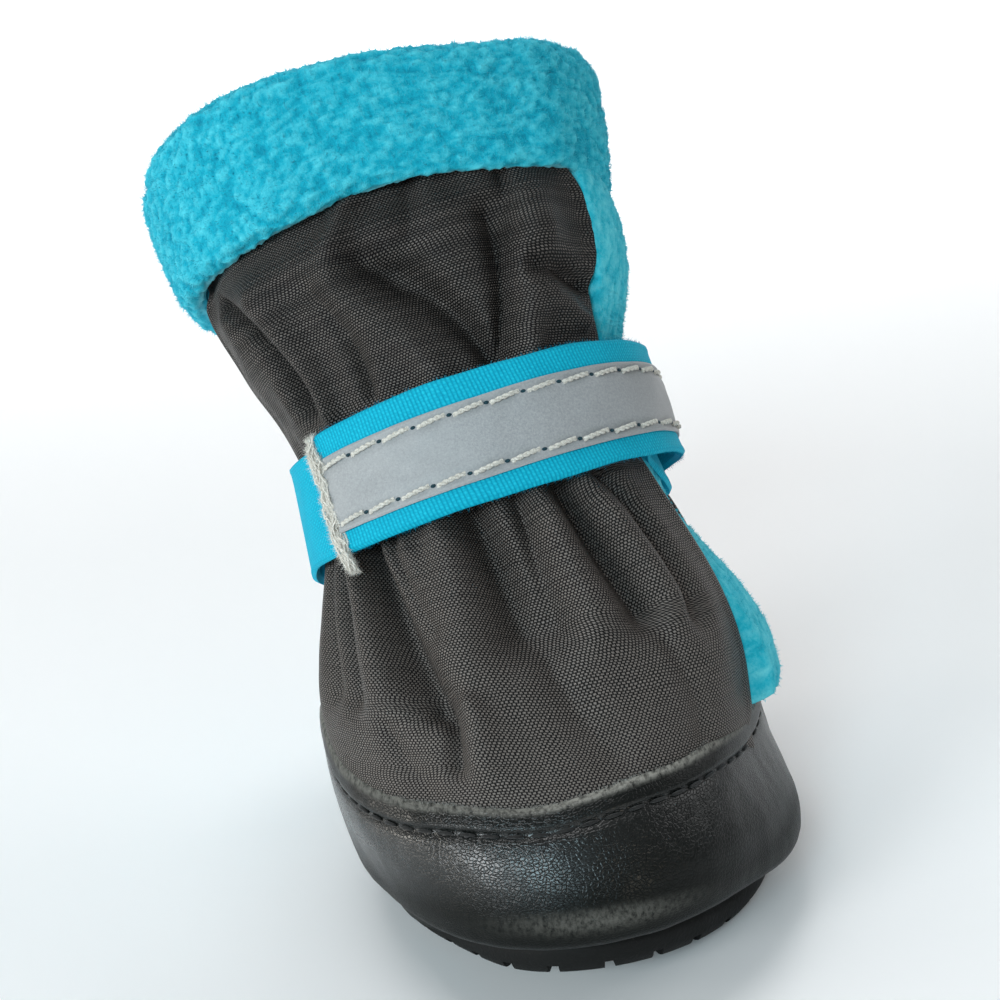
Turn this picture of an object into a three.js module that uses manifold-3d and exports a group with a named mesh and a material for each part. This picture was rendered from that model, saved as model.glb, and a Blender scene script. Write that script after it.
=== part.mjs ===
// A soft winter shoe for a dog: rubber sole, leather toe cap and heel counter, a fleece upper with woven
// panels over it, a turned-over fleece cuff and a hook-and-loop strap that carries a reflective tape.
// Millimetres, +Z up, toe towards -Y, origin on the floor under the middle of the sole.
import * as THREE from "three";
import { mergeVertices } from "three/addons/utils/BufferGeometryUtils.js";
import Module from "manifold-3d";

const wasm = await Module();
wasm.setup();

// Driving dimensions of the last
const LAST_LENGTH = 68;
const BALL_WIDTH = 55;
const COLLAR_HEIGHT = 91;
const TOE_SPRING = 4.5;
const SPRING_START = -13;

// Thicknesses and clearances
const GAP = 0.3;
const FLEECE_WALL = 2.2;
const OXFORD = 0.8;
const LEATHER = 1.0;
const LEATHER_FOLD = 1.7;
const WEBBING = 1.4;
const TAPE = 0.4;
const CUFF_PILE = 3.6;
const CUFF_LINING = 1.8;
const SOLE_THICKNESS = 6;
const INSOLE_THICKNESS = 2;

// Widths and places of the sewn pieces
const STRAP_WIDTH = 16;
const TAPE_WIDTH = 10;
const TOE_CAP_FOLD = 4;
const CUFF_DEPTH_INSIDE = 9;
const COLLAR_EDGE_DROP = 3;

// Sections of the last from the sole edge up to the collar. rise is the height of the section's centre
// between the sole and the collar, 0 to 1. set is its distance behind the origin as a share of the length,
// side its shift as a share of the ball width. lean is the backward tilt and bank the sideways tilt in
// degrees. width is a share of the ball width, toe and heel are the reach forward and back as shares of
// the length, square is the power of the rounded outline.
const SECTION_COLUMNS = ["level", "rise", "set", "side", "lean", "bank", "width", "toe", "heel", "square"];
const SECTIONS = [
  ["sole_edge", 0.0, 0.0, 0.015, 0, 0, 0.92, 0.465, 0.46, 2.1],
  ["roll", 0.046, 0.0, 0.015, 0, 0, 1.0, 0.5, 0.49, 2.1],
  ["toe_seam", 0.15, 0.01, 0.0, 3, 0, 1.01, 0.46, 0.47, 2.15],
  ["vamp", 0.269, 0.06, -0.025, 9, 2, 0.965, 0.39, 0.4, 2.2],
  ["instep", 0.41, 0.125, -0.065, 17, 6, 0.83, 0.31, 0.325, 2.2],
  ["strap", 0.523, 0.175, -0.12, 23, 9, 0.73, 0.26, 0.265, 2.15],
  ["ankle", 0.632, 0.22, -0.15, 26, 10, 0.77, 0.255, 0.265, 2.15],
  ["shaft", 0.744, 0.27, -0.18, 28, 11, 0.91, 0.265, 0.28, 2.2],
  ["cuff_edge", 0.854, 0.325, -0.235, 30, 12, 0.97, 0.28, 0.3, 2.25],
  ["collar", 1.0, 0.4, -0.3, 31, 12, 1.0, 0.3, 0.32, 2.25],
].map((row) => Object.fromEntries(SECTION_COLUMNS.map((name, i) => [name, row[i]])));

const SPINE = SECTIONS.map((s) => ({
  level: s.level,
  x: s.side * BALL_WIDTH,
  y: s.set * LAST_LENGTH,
  z: THREE.MathUtils.lerp(SOLE_THICKNESS + GAP, COLLAR_HEIGHT, s.rise),
  lean: THREE.MathUtils.degToRad(s.lean),
  bank: THREE.MathUtils.degToRad(s.bank),
  half: (s.width * BALL_WIDTH) / 2,
  toe: s.toe * LAST_LENGTH,
  heel: s.heel * LAST_LENGTH,
  square: s.square,
}));

// Height along the spine in millimetres, which is the level that every sewn edge is measured in
const KNOTS = [0];
for (let i = 1; i < SPINE.length; i++) {
  const step = Math.hypot(SPINE[i].y - SPINE[i - 1].y, SPINE[i].z - SPINE[i - 1].z);
  KNOTS.push(KNOTS[i - 1] + step);
}
const LEVEL = Object.fromEntries(SPINE.map((s, i) => [s.level, KNOTS[i]]));

const smooth = (value, low, high) => THREE.MathUtils.smoothstep(value, low, high);
const mix = THREE.MathUtils.lerp;
const radians = THREE.MathUtils.degToRad;

// A smooth curve through one column of a table whose rows stand at the given knots
function through(knots, values, at) {
  let i = 0;
  while (i < knots.length - 2 && at > knots[i + 1]) i++;
  const slope = (k) => {
    const a = Math.max(k - 1, 0);
    const b = Math.min(k + 1, knots.length - 1);
    return (values[b] - values[a]) / (knots[b] - knots[a]);
  };
  const span = knots[i + 1] - knots[i];
  const t = (at - knots[i]) / span;
  const t2 = t * t;
  const t3 = t2 * t;
  return (
    (2 * t3 - 3 * t2 + 1) * values[i] +
    (t3 - 2 * t2 + t) * span * slope(i) +
    (3 * t2 - 2 * t3) * values[i + 1] +
    (t3 - t2) * span * slope(i + 1)
  );
}

const column = (name, level) => through(KNOTS, SPINE.map((s) => s[name]), level);

// How far the toe is lifted off the floor, y millimetres behind the origin
function toeLift(y) {
  const share = Math.max(0, (SPRING_START - y) / (LAST_LENGTH / 2 + SPRING_START));
  return TOE_SPRING * share * share;
}

const rounded = (value, square) => Math.sign(value) * Math.abs(value) ** (2 / square);

// A point of the last: turn runs from 0 at the toe through 90 degrees on the +X side to the heel
function lastPoint(turn, level) {
  const square = column("square", level);
  const across = column("half", level) * rounded(Math.sin(turn), square);
  const ahead = rounded(Math.cos(turn), square);
  const forward = ahead * column(ahead > 0 ? "toe" : "heel", level);
  const lean = column("lean", level);
  const bank = column("bank", level);
  const x = column("x", level) + across * Math.cos(bank);
  const y = column("y", level) - forward * Math.cos(lean);
  const z = column("z", level) + forward * Math.sin(lean) + across * Math.sin(bank);
  const lift = toeLift(y) * (1 - smooth(level, LEVEL.roll, LEVEL.instep));
  return new THREE.Vector3(x, y, z + lift);
}

// The last grown outwards by a distance along its own surface normal
function skinPoint(turn, level, out) {
  const step = 0.02;
  const around = lastPoint(turn + step, level).sub(lastPoint(turn - step, level));
  const upward = lastPoint(turn, level + step).sub(lastPoint(turn, level - step));
  return lastPoint(turn, level).addScaledVector(around.cross(upward).normalize(), out);
}

// A closed solid between an inner and an outer sheet. place(u, v, w) gives a point for u across and v up
// the sheet, both 0 to 1, on the inner sheet for w 0 and the outer one for w 1. A ring closes on itself.
function sheetSolid(columns, rows, ring, place) {
  const points = [];
  const faces = [];
  const around = ring ? columns : columns + 1;
  for (const w of [0, 1])
    for (let j = 0; j <= rows; j++)
      for (let i = 0; i < around; i++) points.push(place(i / columns, j / rows, w));
  const at = (i, j, w) => (w * (rows + 1) + j) * around + (i % around);
  const quad = (a, b, c, d) => faces.push(a, b, c, a, c, d);
  for (let i = 0; i < columns; i++) {
    for (let j = 0; j < rows; j++) {
      quad(at(i, j, 1), at(i + 1, j, 1), at(i + 1, j + 1, 1), at(i, j + 1, 1));
      quad(at(i, j, 0), at(i, j + 1, 0), at(i + 1, j + 1, 0), at(i + 1, j, 0));
    }
    quad(at(i, 0, 0), at(i + 1, 0, 0), at(i + 1, 0, 1), at(i, 0, 1));
    quad(at(i, rows, 1), at(i + 1, rows, 1), at(i + 1, rows, 0), at(i, rows, 0));
  }
  for (let j = 0; j < rows && !ring; j++) {
    quad(at(0, j, 0), at(0, j, 1), at(0, j + 1, 1), at(0, j + 1, 0));
    quad(at(columns, j, 1), at(columns, j, 0), at(columns, j + 1, 0), at(columns, j + 1, 1));
  }
  return indexedGeometry(points, faces);
}

// A closed ring whose section is a closed loop: place(u, k) gives corner k of the section at u around
function ringSolid(columns, corners, place) {
  const points = [];
  const faces = [];
  for (let i = 0; i < columns; i++)
    for (let k = 0; k < corners; k++) points.push(place(i / columns, k));
  const at = (i, k) => (i % columns) * corners + (k % corners);
  for (let i = 0; i < columns; i++)
    for (let k = 0; k < corners; k++)
      faces.push(at(i, k), at(i + 1, k), at(i + 1, k + 1), at(i, k), at(i + 1, k + 1), at(i, k + 1));
  return indexedGeometry(points, faces);
}

// A closed plate: rings of points from the middle of the underside, round the edge, to the middle of the top
function plateSolid(columns, rings, place, bottom, top) {
  const points = [bottom, top];
  const faces = [];
  for (let j = 0; j < rings; j++)
    for (let i = 0; i < columns; i++) points.push(place(i / columns, j));
  const at = (i, j) => 2 + j * columns + (i % columns);
  for (let i = 0; i < columns; i++) {
    faces.push(0, at(i + 1, 0), at(i, 0));
    faces.push(1, at(i, rings - 1), at(i + 1, rings - 1));
    for (let j = 0; j < rings - 1; j++) {
      faces.push(at(i, j), at(i + 1, j), at(i + 1, j + 1), at(i, j), at(i + 1, j + 1), at(i, j + 1));
    }
  }
  return indexedGeometry(points, faces);
}

function indexedGeometry(points, faces) {
  const geometry = new THREE.BufferGeometry().setFromPoints(points);
  geometry.setIndex(faces);
  return geometry;
}

// three.js geometry to a manifold solid and back
function toManifold(geometry) {
  const bare = new THREE.BufferGeometry();
  bare.setAttribute("position", geometry.getAttribute("position"));
  if (geometry.index) bare.setIndex(geometry.index);
  const merged = mergeVertices(bare, 1e-4);
  const vertProperties = new Float32Array(merged.getAttribute("position").array);
  const triVerts = new Uint32Array(merged.index.array);
  return new wasm.Manifold(new wasm.Mesh({ numProp: 3, vertProperties, triVerts }));
}

function fromManifold(solid) {
  const mesh = solid.getMesh();
  const geometry = new THREE.BufferGeometry();
  geometry.setAttribute("position", new THREE.BufferAttribute(mesh.vertProperties, 3));
  geometry.setIndex(new THREE.BufferAttribute(mesh.triVerts, 1));
  return geometry;
}

const fullTurn = (u) => u * 2 * Math.PI;
const UPPER_COLUMNS = 40;

// Rows that pieces share where they lie on one another: the rand as shares of its height, then the
// cloth from the toe seam to the cuff. The second row at the fold is the step of the folded edge.
const foldRow = 1 - TOE_CAP_FOLD / LEVEL.toe_seam;
const RAND_ROWS = [0, 0.12, 0.26, 0.42, 0.56, foldRow, foldRow + 0.01, 1];
const CLOTH_ROWS = [0, 0.09, 0.18, 0.27, 0.36, 0.45, 0.54, 0.63, 0.72, 0.81, 0.9, 1];
const clothLevel = (share) => mix(LEVEL.toe_seam, LEVEL.cuff_edge, share);
const collarEdge = LEVEL.collar - COLLAR_EDGE_DROP;
const UPPER_LEVELS = [
  ...RAND_ROWS.filter((share) => share <= foldRow).map((share) => share * LEVEL.toe_seam),
  ...CLOTH_ROWS.map(clothLevel),
  collarEdge,
];

// Upper: the fleece sock, open underneath and at the collar
function upperGeometry() {
  const rows = UPPER_LEVELS.length - 1;
  return sheetSolid(UPPER_COLUMNS, rows, true, (u, v, w) =>
    skinPoint(fullTurn(u), UPPER_LEVELS[Math.round(v * rows)], (w - 1) * FLEECE_WALL));
}

// Half-angles of the front panel's sides and of the back panel's sides, and how far the slack cloth has
// turned on the foot, one row for each level
const PANEL_COLUMNS = ["level", "front", "back", "twist"];
const PANEL_EDGES = [
  ["toe_seam", 71, 58, -9],
  ["vamp", 75, 58, -9],
  ["instep", 80, 60, -8],
  ["strap", 76, 62, -10],
  ["ankle", 74, 63, -12],
  ["shaft", 72, 64, -13],
  ["cuff_edge", 72, 64, -13],
].map((row) => Object.fromEntries(PANEL_COLUMNS.map((name, i) => [name, row[i]])));

function panelColumn(name, level) {
  const knots = PANEL_EDGES.map((row) => LEVEL[row.level]);
  return radians(through(knots, PANEL_EDGES.map((row) => row[name]), level));
}

// A woven panel, whose rows stop short of the toe cap and the cuff. cut gives how much of its half-angle
// a corner takes off at a share of the height.
function panelGeometry(columns, rows, middle, side, cut) {
  const low = LEVEL.toe_seam + GAP;
  const high = LEVEL.cuff_edge - 2 * GAP;
  return sheetSolid(columns, rows.length - 1, false, (u, v, w) => {
    const share = rows[Math.round(v * (rows.length - 1))];
    const level = THREE.MathUtils.clamp(clothLevel(share), low, high);
    const reach = panelColumn(side, level) - cut(share);
    const turn = middle + panelColumn("twist", level) + mix(-1, 1, u) * reach;
    return skinPoint(turn, level, GAP + w * OXFORD);
  });
}

// Front panel: from the toe cap to the cuff, round at its top corners
const CORNER_START = 0.9;
const CORNER_TURN = radians(15);
const FRONT_ROWS = [...CLOTH_ROWS.slice(0, -1), 0.94, 0.975, 1];
function cornerCut(share) {
  const into = Math.max(0, share - CORNER_START) / (1 - CORNER_START);
  return CORNER_TURN * (1 - Math.sqrt(1 - into * into));
}
const FRONT_COLUMNS = 20;
const frontPanelGeometry = () => panelGeometry(FRONT_COLUMNS, FRONT_ROWS, 0, "front", cornerCut);

// Back panel: up the middle of the heel
const BACK_COLUMNS = 12;
const backPanelGeometry = () => panelGeometry(BACK_COLUMNS, CLOTH_ROWS, Math.PI, "back", () => 0);

// Leather rand pieces: the toe cap in front and the counter behind, each with a folded upper edge
const TOE_CAP_TURN = 112;
const TOE_CAP_COLUMNS = 30;
const COUNTER_TURN = TOE_CAP_TURN + 0.8;
const COUNTER_COLUMNS = 16;
function randGeometry(from, to, columns) {
  return sheetSolid(columns, RAND_ROWS.length - 1, false, (u, v, w) => {
    const share = RAND_ROWS[Math.round(v * (RAND_ROWS.length - 1))];
    const thickness = share > foldRow ? LEATHER_FOLD : LEATHER;
    return skinPoint(radians(mix(from, to, u)), share * LEVEL.toe_seam, GAP + w * thickness);
  });
}

// Cuff: fleece turned out over the collar edge. The loop goes up the outside and down the inside.
const CUFF_COLUMNS = ["out", "level"];
function cuffLoop() {
  const edge = collarEdge;
  const inside = -(FLEECE_WALL + GAP);
  const low = LEVEL.cuff_edge;
  const rows = [
    [GAP, low],
    [CUFF_PILE * 0.62, low - 0.2],
    [CUFF_PILE * 0.95, low + 1.2],
    [CUFF_PILE, low + 4],
    [CUFF_PILE, mix(low, edge, 0.6)],
    [CUFF_PILE * 0.93, edge + 0.5],
    [CUFF_PILE * 0.6, LEVEL.collar],
    [-FLEECE_WALL * 0.5, LEVEL.collar + 0.8],
    [inside - CUFF_LINING * 0.7, LEVEL.collar - 1],
    [inside - CUFF_LINING, edge - 1.5],
    [inside - CUFF_LINING * 0.8, edge - CUFF_DEPTH_INSIDE],
    [inside, edge - CUFF_DEPTH_INSIDE],
    [inside, edge + GAP],
    [GAP, edge + GAP],
  ];
  return rows.map((row) => Object.fromEntries(CUFF_COLUMNS.map((name, i) => [name, row[i]])));
}

function cuffGeometry() {
  const loop = cuffLoop();
  return ringSolid(UPPER_COLUMNS, loop.length, (u, k) => skinPoint(fullTurn(u), loop[k].level, loop[k].out));
}

// Strap: one webbing that starts under itself at the front, goes round the ankle and closes on its own start
const STRAP_START_TURN = 100;
const STRAP_END_TURN = -40;
const STRAP_SWEEP = STRAP_START_TURN - STRAP_END_TURN + 360;
const STRAP_CLIMB = [300, 352];
const STRAP_START_DROP = 2.4;
const STRAP_DROP_FADE = 45;
const STRAP_EASE = 0.15;
const STRAP_COLUMNS = 80;
const STRAP_ROWS = 3;
const strapSeat = GAP + OXFORD + GAP + STRAP_EASE;

// sweep is the angle gone round from the strap's start, across the distance from its middle line, measured
// on the skin, and out the distance above its underside
function strapPoint(sweep, across, out) {
  const turn = radians(STRAP_START_TURN - sweep);
  const half = STRAP_WIDTH / 2;
  const above = lastPoint(turn, LEVEL.strap + half);
  const stretch = above.distanceTo(lastPoint(turn, LEVEL.strap - half)) / STRAP_WIDTH;
  const climb = smooth(sweep, STRAP_CLIMB[0], STRAP_CLIMB[1]) * (WEBBING + GAP);
  const drop = STRAP_START_DROP * (1 - smooth(sweep, 0, STRAP_DROP_FADE));
  return skinPoint(turn, LEVEL.strap + (across - drop) / stretch, strapSeat + climb + out);
}

function strapGeometry() {
  return sheetSolid(STRAP_COLUMNS, STRAP_ROWS, false, (u, v, w) =>
    strapPoint(STRAP_SWEEP * (1 - u), mix(-STRAP_WIDTH / 2, STRAP_WIDTH / 2, v), w * WEBBING));
}

// Reflective tape along the middle of the strap's outer run, over the strap's own columns
const TAPE_COLUMNS = 32;
const TAPE_END_TRIM = 2;
function tapeGeometry() {
  const start = STRAP_SWEEP * (1 - TAPE_COLUMNS / STRAP_COLUMNS);
  return sheetSolid(TAPE_COLUMNS, STRAP_ROWS, false, (u, v, w) =>
    strapPoint(
      Math.min(mix(STRAP_SWEEP, start, u), STRAP_SWEEP - TAPE_END_TRIM),
      mix(-TAPE_WIDTH / 2, TAPE_WIDTH / 2, v),
      WEBBING + GAP + w * TAPE,
    ));
}

// Outline of the sole and of the insole: the lowest section of the last, grown by a distance
function soleOutline(turn, out) {
  const edge = lastPoint(turn, 0);
  const next = lastPoint(turn + 0.01, 0).sub(lastPoint(turn - 0.01, 0));
  return new THREE.Vector2(edge.x, edge.y).add(new THREE.Vector2(next.y, -next.x).setLength(out));
}

// Outsole: rows go from the middle of the tread, over the rounded edge and its rib, to the top
const SOLE_AROUND = 52;
const SOLE_COLUMNS = ["inner", "out", "height"];
const SOLE_ROWS = [
  [0.4, -2.2, 0],
  [0.7, -2.2, 0],
  [1, -2.2, 0],
  [1, -0.4, 0.7],
  [1, 0.6, 1.8],
  [1, 0.6, 3.4],
  [1, -0.2, 3.8],
  [1, -0.2, SOLE_THICKNESS],
  [0.7, -0.2, SOLE_THICKNESS],
  [0.4, -0.2, SOLE_THICKNESS],
].map((row) => Object.fromEntries(SOLE_COLUMNS.map((name, i) => [name, row[i]])));

function soleBlank() {
  return plateSolid(
    SOLE_AROUND,
    SOLE_ROWS.length,
    (u, j) => {
      const { inner, out, height } = SOLE_ROWS[j];
      const flat = soleOutline(fullTurn(u), out).multiplyScalar(inner);
      return new THREE.Vector3(flat.x, flat.y, height + toeLift(flat.y));
    },
    new THREE.Vector3(0, 0, 0),
    new THREE.Vector3(0, 0, SOLE_THICKNESS),
  );
}

// Tread: grooves between the rim lugs, and chevron grooves across the middle
const RIM_LUGS = 28;
const RIM_GROOVE = { width: 1.6, depth: 1.3, reach: 7 };
const CHEVRON_GROOVE = { width: 1.6, depth: 1.1, arm: 11, slope: 24 };
const CHEVRON_PITCH = 7;
const CHEVRON_ROWS = 6;
const SLOPE_STEP = 0.5;

function grooveAt(x, y, heading, length, width, depth) {
  const box = new THREE.BoxGeometry(width, length, 2 * depth);
  const slope = Math.atan((toeLift(y - SLOPE_STEP) - toeLift(y + SLOPE_STEP)) / (2 * SLOPE_STEP));
  const place = new THREE.Matrix4()
    .makeTranslation(x, y, toeLift(y))
    .multiply(new THREE.Matrix4().makeRotationX(-slope))
    .multiply(new THREE.Matrix4().makeRotationZ(heading));
  return toManifold(box.applyMatrix4(place));
}

function outsoleGeometry() {
  let sole = toManifold(soleBlank());
  for (let i = 0; i < RIM_LUGS; i++) {
    const turn = fullTurn((i + 0.5) / RIM_LUGS);
    const rim = soleOutline(turn, -RIM_GROOVE.reach * 0.4);
    const ahead = soleOutline(turn + 0.02, 0).sub(soleOutline(turn - 0.02, 0));
    const heading = Math.atan2(ahead.y, ahead.x);
    const groove = grooveAt(rim.x, rim.y, heading, RIM_GROOVE.reach, RIM_GROOVE.width, RIM_GROOVE.depth);
    sole = sole.subtract(groove);
  }
  for (let row = 0; row < CHEVRON_ROWS; row++) {
    const y = (row - (CHEVRON_ROWS - 1) / 2) * CHEVRON_PITCH;
    for (const side of [-1, 1]) {
      const heading = side * radians(90 - CHEVRON_GROOVE.slope);
      const x = side * (CHEVRON_GROOVE.arm / 2 + 1);
      const { arm, width, depth } = CHEVRON_GROOVE;
      sole = sole.subtract(grooveAt(x, y, heading, arm, width, depth));
    }
  }
  return fromManifold(sole);
}

// Insole: a pad that lies inside the upper on top of the outsole
const INSOLE_CLEARANCE = FLEECE_WALL + GAP;
const INSOLE_AROUND = 36;
const INSOLE_COLUMNS = ["inner", "height"];
const INSOLE_ROWS = [
  [0.4, 0],
  [0.7, 0],
  [1, 0],
  [1, INSOLE_THICKNESS],
  [0.7, INSOLE_THICKNESS],
  [0.4, INSOLE_THICKNESS],
].map((row) => Object.fromEntries(INSOLE_COLUMNS.map((name, i) => [name, row[i]])));

function insoleGeometry() {
  const floor = SOLE_THICKNESS + GAP;
  return plateSolid(
    INSOLE_AROUND,
    INSOLE_ROWS.length,
    (u, j) => {
      const { inner, height } = INSOLE_ROWS[j];
      const flat = soleOutline(fullTurn(u), -INSOLE_CLEARANCE).multiplyScalar(inner);
      return new THREE.Vector3(flat.x, flat.y, floor + height + toeLift(flat.y));
    },
    new THREE.Vector3(0, 0, floor),
    new THREE.Vector3(0, 0, floor + INSOLE_THICKNESS),
  );
}

const finish = (color, roughness) => new THREE.MeshStandardMaterial({ color, roughness, metalness: 0 });
const rubber = finish(0x1b1c1d, 0.8);
const leather = finish(0x17191a, 0.35);
const oxford = finish(0x2b2726, 0.75);
const fleece = finish(0x1fb4cf, 0.95);
const webbing = finish(0x0fb0d6, 0.7);
const reflective = finish(0xa3a8ae, 0.45);

const shoe = new THREE.Group();
function addPiece(name, geometry, material) {
  const piece = new THREE.Mesh(geometry, material);
  piece.name = name;
  shoe.add(piece);
}

addPiece("outsole", outsoleGeometry(), rubber);
addPiece("insole", insoleGeometry(), fleece);
addPiece("upper", upperGeometry(), fleece);
addPiece("front_panel", frontPanelGeometry(), oxford);
addPiece("back_panel", backPanelGeometry(), oxford);
addPiece("toe_cap", randGeometry(-TOE_CAP_TURN, TOE_CAP_TURN, TOE_CAP_COLUMNS), leather);
addPiece("heel_counter", randGeometry(COUNTER_TURN, 360 - COUNTER_TURN, COUNTER_COLUMNS), leather);
addPiece("cuff", cuffGeometry(), fleece);
addPiece("strap", strapGeometry(), webbing);
addPiece("reflective_tape", tapeGeometry(), reflective);

export default shoe;
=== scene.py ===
"""A soft winter dog shoe: rubber sole, leather rand, woven panels over a fleece sock, a fleece cuff
and a webbing strap.

The solids of the frame hold the sizes. Here each one is dressed: the same last is laid out again in
millimetres, and every piece is a primitive that is laid onto it, creased, thickened and finished.
"""

import math

import bpy
import numpy as np
from mathutils import Matrix, Vector


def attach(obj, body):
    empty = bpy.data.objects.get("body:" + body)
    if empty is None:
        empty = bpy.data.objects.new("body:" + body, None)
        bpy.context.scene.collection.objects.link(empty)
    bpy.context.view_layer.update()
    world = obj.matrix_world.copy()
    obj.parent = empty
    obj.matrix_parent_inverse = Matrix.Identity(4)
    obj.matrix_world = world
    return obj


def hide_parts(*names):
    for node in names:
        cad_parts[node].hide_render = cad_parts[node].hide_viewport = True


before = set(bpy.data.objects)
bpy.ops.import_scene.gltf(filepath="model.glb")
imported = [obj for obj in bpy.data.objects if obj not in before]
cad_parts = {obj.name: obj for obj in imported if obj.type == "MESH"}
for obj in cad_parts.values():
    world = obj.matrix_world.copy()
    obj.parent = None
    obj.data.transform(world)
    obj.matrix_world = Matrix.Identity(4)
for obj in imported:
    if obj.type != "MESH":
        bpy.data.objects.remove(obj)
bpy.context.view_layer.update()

MM = 0.001

# Sizes of the last and of the sewn pieces, in millimetres
LAST_LENGTH = 68
BALL_WIDTH = 55
COLLAR_HEIGHT = 91
TOE_SPRING = 4.5
SPRING_START = -13  # where the toe begins to lift
RIGHT_SLIM = 0.1  # how much slimmer the +X side is at the toe seam
GAP = 0.3
SOLE_THICKNESS = 6
FLEECE_WALL = 2.2
OXFORD = 0.8
LEATHER = 1.0
LEATHER_WALL = 0.8
FOLD_HEIGHT = 2.2
WEBBING = 1.4
WEBBING_WALL = 1.15
TAPE = 0.4
STRAP_WIDTH = 16.8
TAPE_WIDTH = 10.3
CUFF_PILE = 3.6  # outside the collar
CUFF_LINING = 1.8  # inside it
CLUMP = 1.25  # from nub to nub of the fleece

# Sections of the last: rise, set, side, lean, bank, width, toe, heel, square. Rise is a share of the
# height above the sole; set, toe and heel of the length; side and width of the ball width. Lean and
# bank are in degrees.
SECTIONS = {
    "sole_edge": (0.0, 0.0, 0.015, 0, 0, 0.92, 0.465, 0.46, 2.1),
    "roll": (0.046, 0.0, 0.015, 0, 0, 1.0, 0.5, 0.49, 2.1),
    "toe_seam": (0.15, 0.01, 0.0, 3, 0, 1.01, 0.46, 0.47, 2.15),
    "vamp": (0.269, 0.06, -0.025, 9, 2, 0.965, 0.39, 0.4, 2.2),
    "instep": (0.41, 0.125, -0.065, 17, 6, 0.83, 0.31, 0.325, 2.2),
    "strap": (0.523, 0.175, -0.12, 23, 9, 0.73, 0.26, 0.265, 2.15),
    "ankle": (0.632, 0.22, -0.15, 26, 10, 0.77, 0.255, 0.265, 2.15),
    "shaft": (0.744, 0.27, -0.18, 28, 11, 0.91, 0.265, 0.28, 2.2),
    "cuff_edge": (0.854, 0.325, -0.235, 30, 12, 0.97, 0.28, 0.3, 2.25),
    "collar": (1.0, 0.4, -0.3, 31, 12, 1.0, 0.3, 0.32, 2.25),
}
RISE, SET, SIDE, LEAN, BANK, WIDTH, TOE, HEEL, SQUARE = np.array(list(SECTIONS.values()), float).T
SPINE = {
    "x": SIDE * BALL_WIDTH,
    "y": SET * LAST_LENGTH,
    "z": SOLE_THICKNESS + GAP + RISE * (COLLAR_HEIGHT - SOLE_THICKNESS - GAP),
    "lean": np.radians(LEAN),
    "bank": np.radians(BANK),
    "half": WIDTH * BALL_WIDTH / 2,
    "toe": TOE * LAST_LENGTH,
    "heel": HEEL * LAST_LENGTH,
    "square": SQUARE,
}
STEPS = np.hypot(np.diff(SPINE["y"]), np.diff(SPINE["z"]))
KNOTS = np.concatenate([[0], np.cumsum(STEPS)])
LEVEL = dict(zip(SECTIONS, KNOTS))
TOE_SEAM, STRAP_LINE, CUFF_EDGE, COLLAR = (
    LEVEL[name] for name in ("toe_seam", "strap", "cuff_edge", "collar")
)
COLLAR_EDGE = COLLAR - 3


def through(knots, values, at):
    """A smooth curve through a column of values that stand at the knots."""
    knots, values = np.asarray(knots, float), np.asarray(values, float)
    i = np.clip(np.searchsorted(knots, at) - 1, 0, len(knots) - 2)
    before = np.maximum(np.arange(len(knots)) - 1, 0)
    after = np.minimum(np.arange(len(knots)) + 1, len(knots) - 1)
    slope = (values[after] - values[before]) / (knots[after] - knots[before])
    span = knots[i + 1] - knots[i]
    t = (at - knots[i]) / span
    start = (2 * t**3 - 3 * t**2 + 1) * values[i] + (t**3 - 2 * t**2 + t) * span * slope[i]
    end = (3 * t**2 - 2 * t**3) * values[i + 1] + (t**3 - t**2) * span * slope[i + 1]
    return start + end


def ease(value, low, high):
    t = np.clip((value - low) / (high - low), 0, 1)
    return t * t * (3 - 2 * t)


def blend(low, high, share):
    return low + (high - low) * share


def bell(distance, width):
    return np.exp(-((distance / width) ** 2))


def unit(vectors):
    return vectors / np.linalg.norm(vectors, axis=-1, keepdims=True)


def wrapped(turn):
    """The turn in degrees, from -180 to 180."""
    return np.degrees(np.mod(turn + math.pi, 2 * math.pi) - math.pi)


def toe_lift(y):
    share = np.maximum(0, (SPRING_START - y) / (LAST_LENGTH / 2 + SPRING_START))
    return TOE_SPRING * share**2


def rounded(value, square):
    return np.sign(value) * np.abs(value) ** (2 / square)


def last_point(turn, level):
    """A point of the last; turn is 0 at the toe and 90 degrees on the +X side, level is the way up."""
    at = {name: through(KNOTS, column, level) for name, column in SPINE.items()}
    slim = 1 - RIGHT_SLIM * bell(level - TOE_SEAM, 8) * ease(np.sin(turn), 0, 0.8)
    across = at["half"] * rounded(np.sin(turn), at["square"]) * slim
    ahead = rounded(np.cos(turn), at["square"])
    forward = ahead * np.where(ahead > 0, at["toe"], at["heel"])
    x = at["x"] + across * np.cos(at["bank"])
    y = at["y"] - forward * np.cos(at["lean"])
    z = at["z"] + forward * np.sin(at["lean"]) + across * np.sin(at["bank"])
    lift = toe_lift(y) * (1 - ease(level, LEVEL["roll"], LEVEL["instep"]))
    return np.stack([x, y, z + lift], -1)


def skin_point(turn, level, out):
    """The last grown outwards by a distance along its own normal."""
    step = 0.02
    around = last_point(turn + step, level) - last_point(turn - step, level)
    upward = last_point(turn, level + step) - last_point(turn, level - step)
    normal = unit(np.cross(around, upward))
    return last_point(turn, level) + normal * np.asarray(out)[..., None]


# Uneven surfaces: fixed hashed noise, the same on every run
def scatter(cells, salt):
    """A fixed number from 0 to 1 for each whole-number cell."""
    mixed = cells[..., 0] * 73856093 ^ cells[..., 1] * 19349663 ^ cells[..., 2] * 83492791 ^ salt * 7919
    mixed = (mixed ^ (mixed >> 13)) * 1274126177 & 0x7FFFFFFF
    mixed = (mixed ^ (mixed >> 15)) * 668265263 & 0x7FFFFFFF
    return (mixed ^ (mixed >> 12)) % 65536 / 65535


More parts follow.
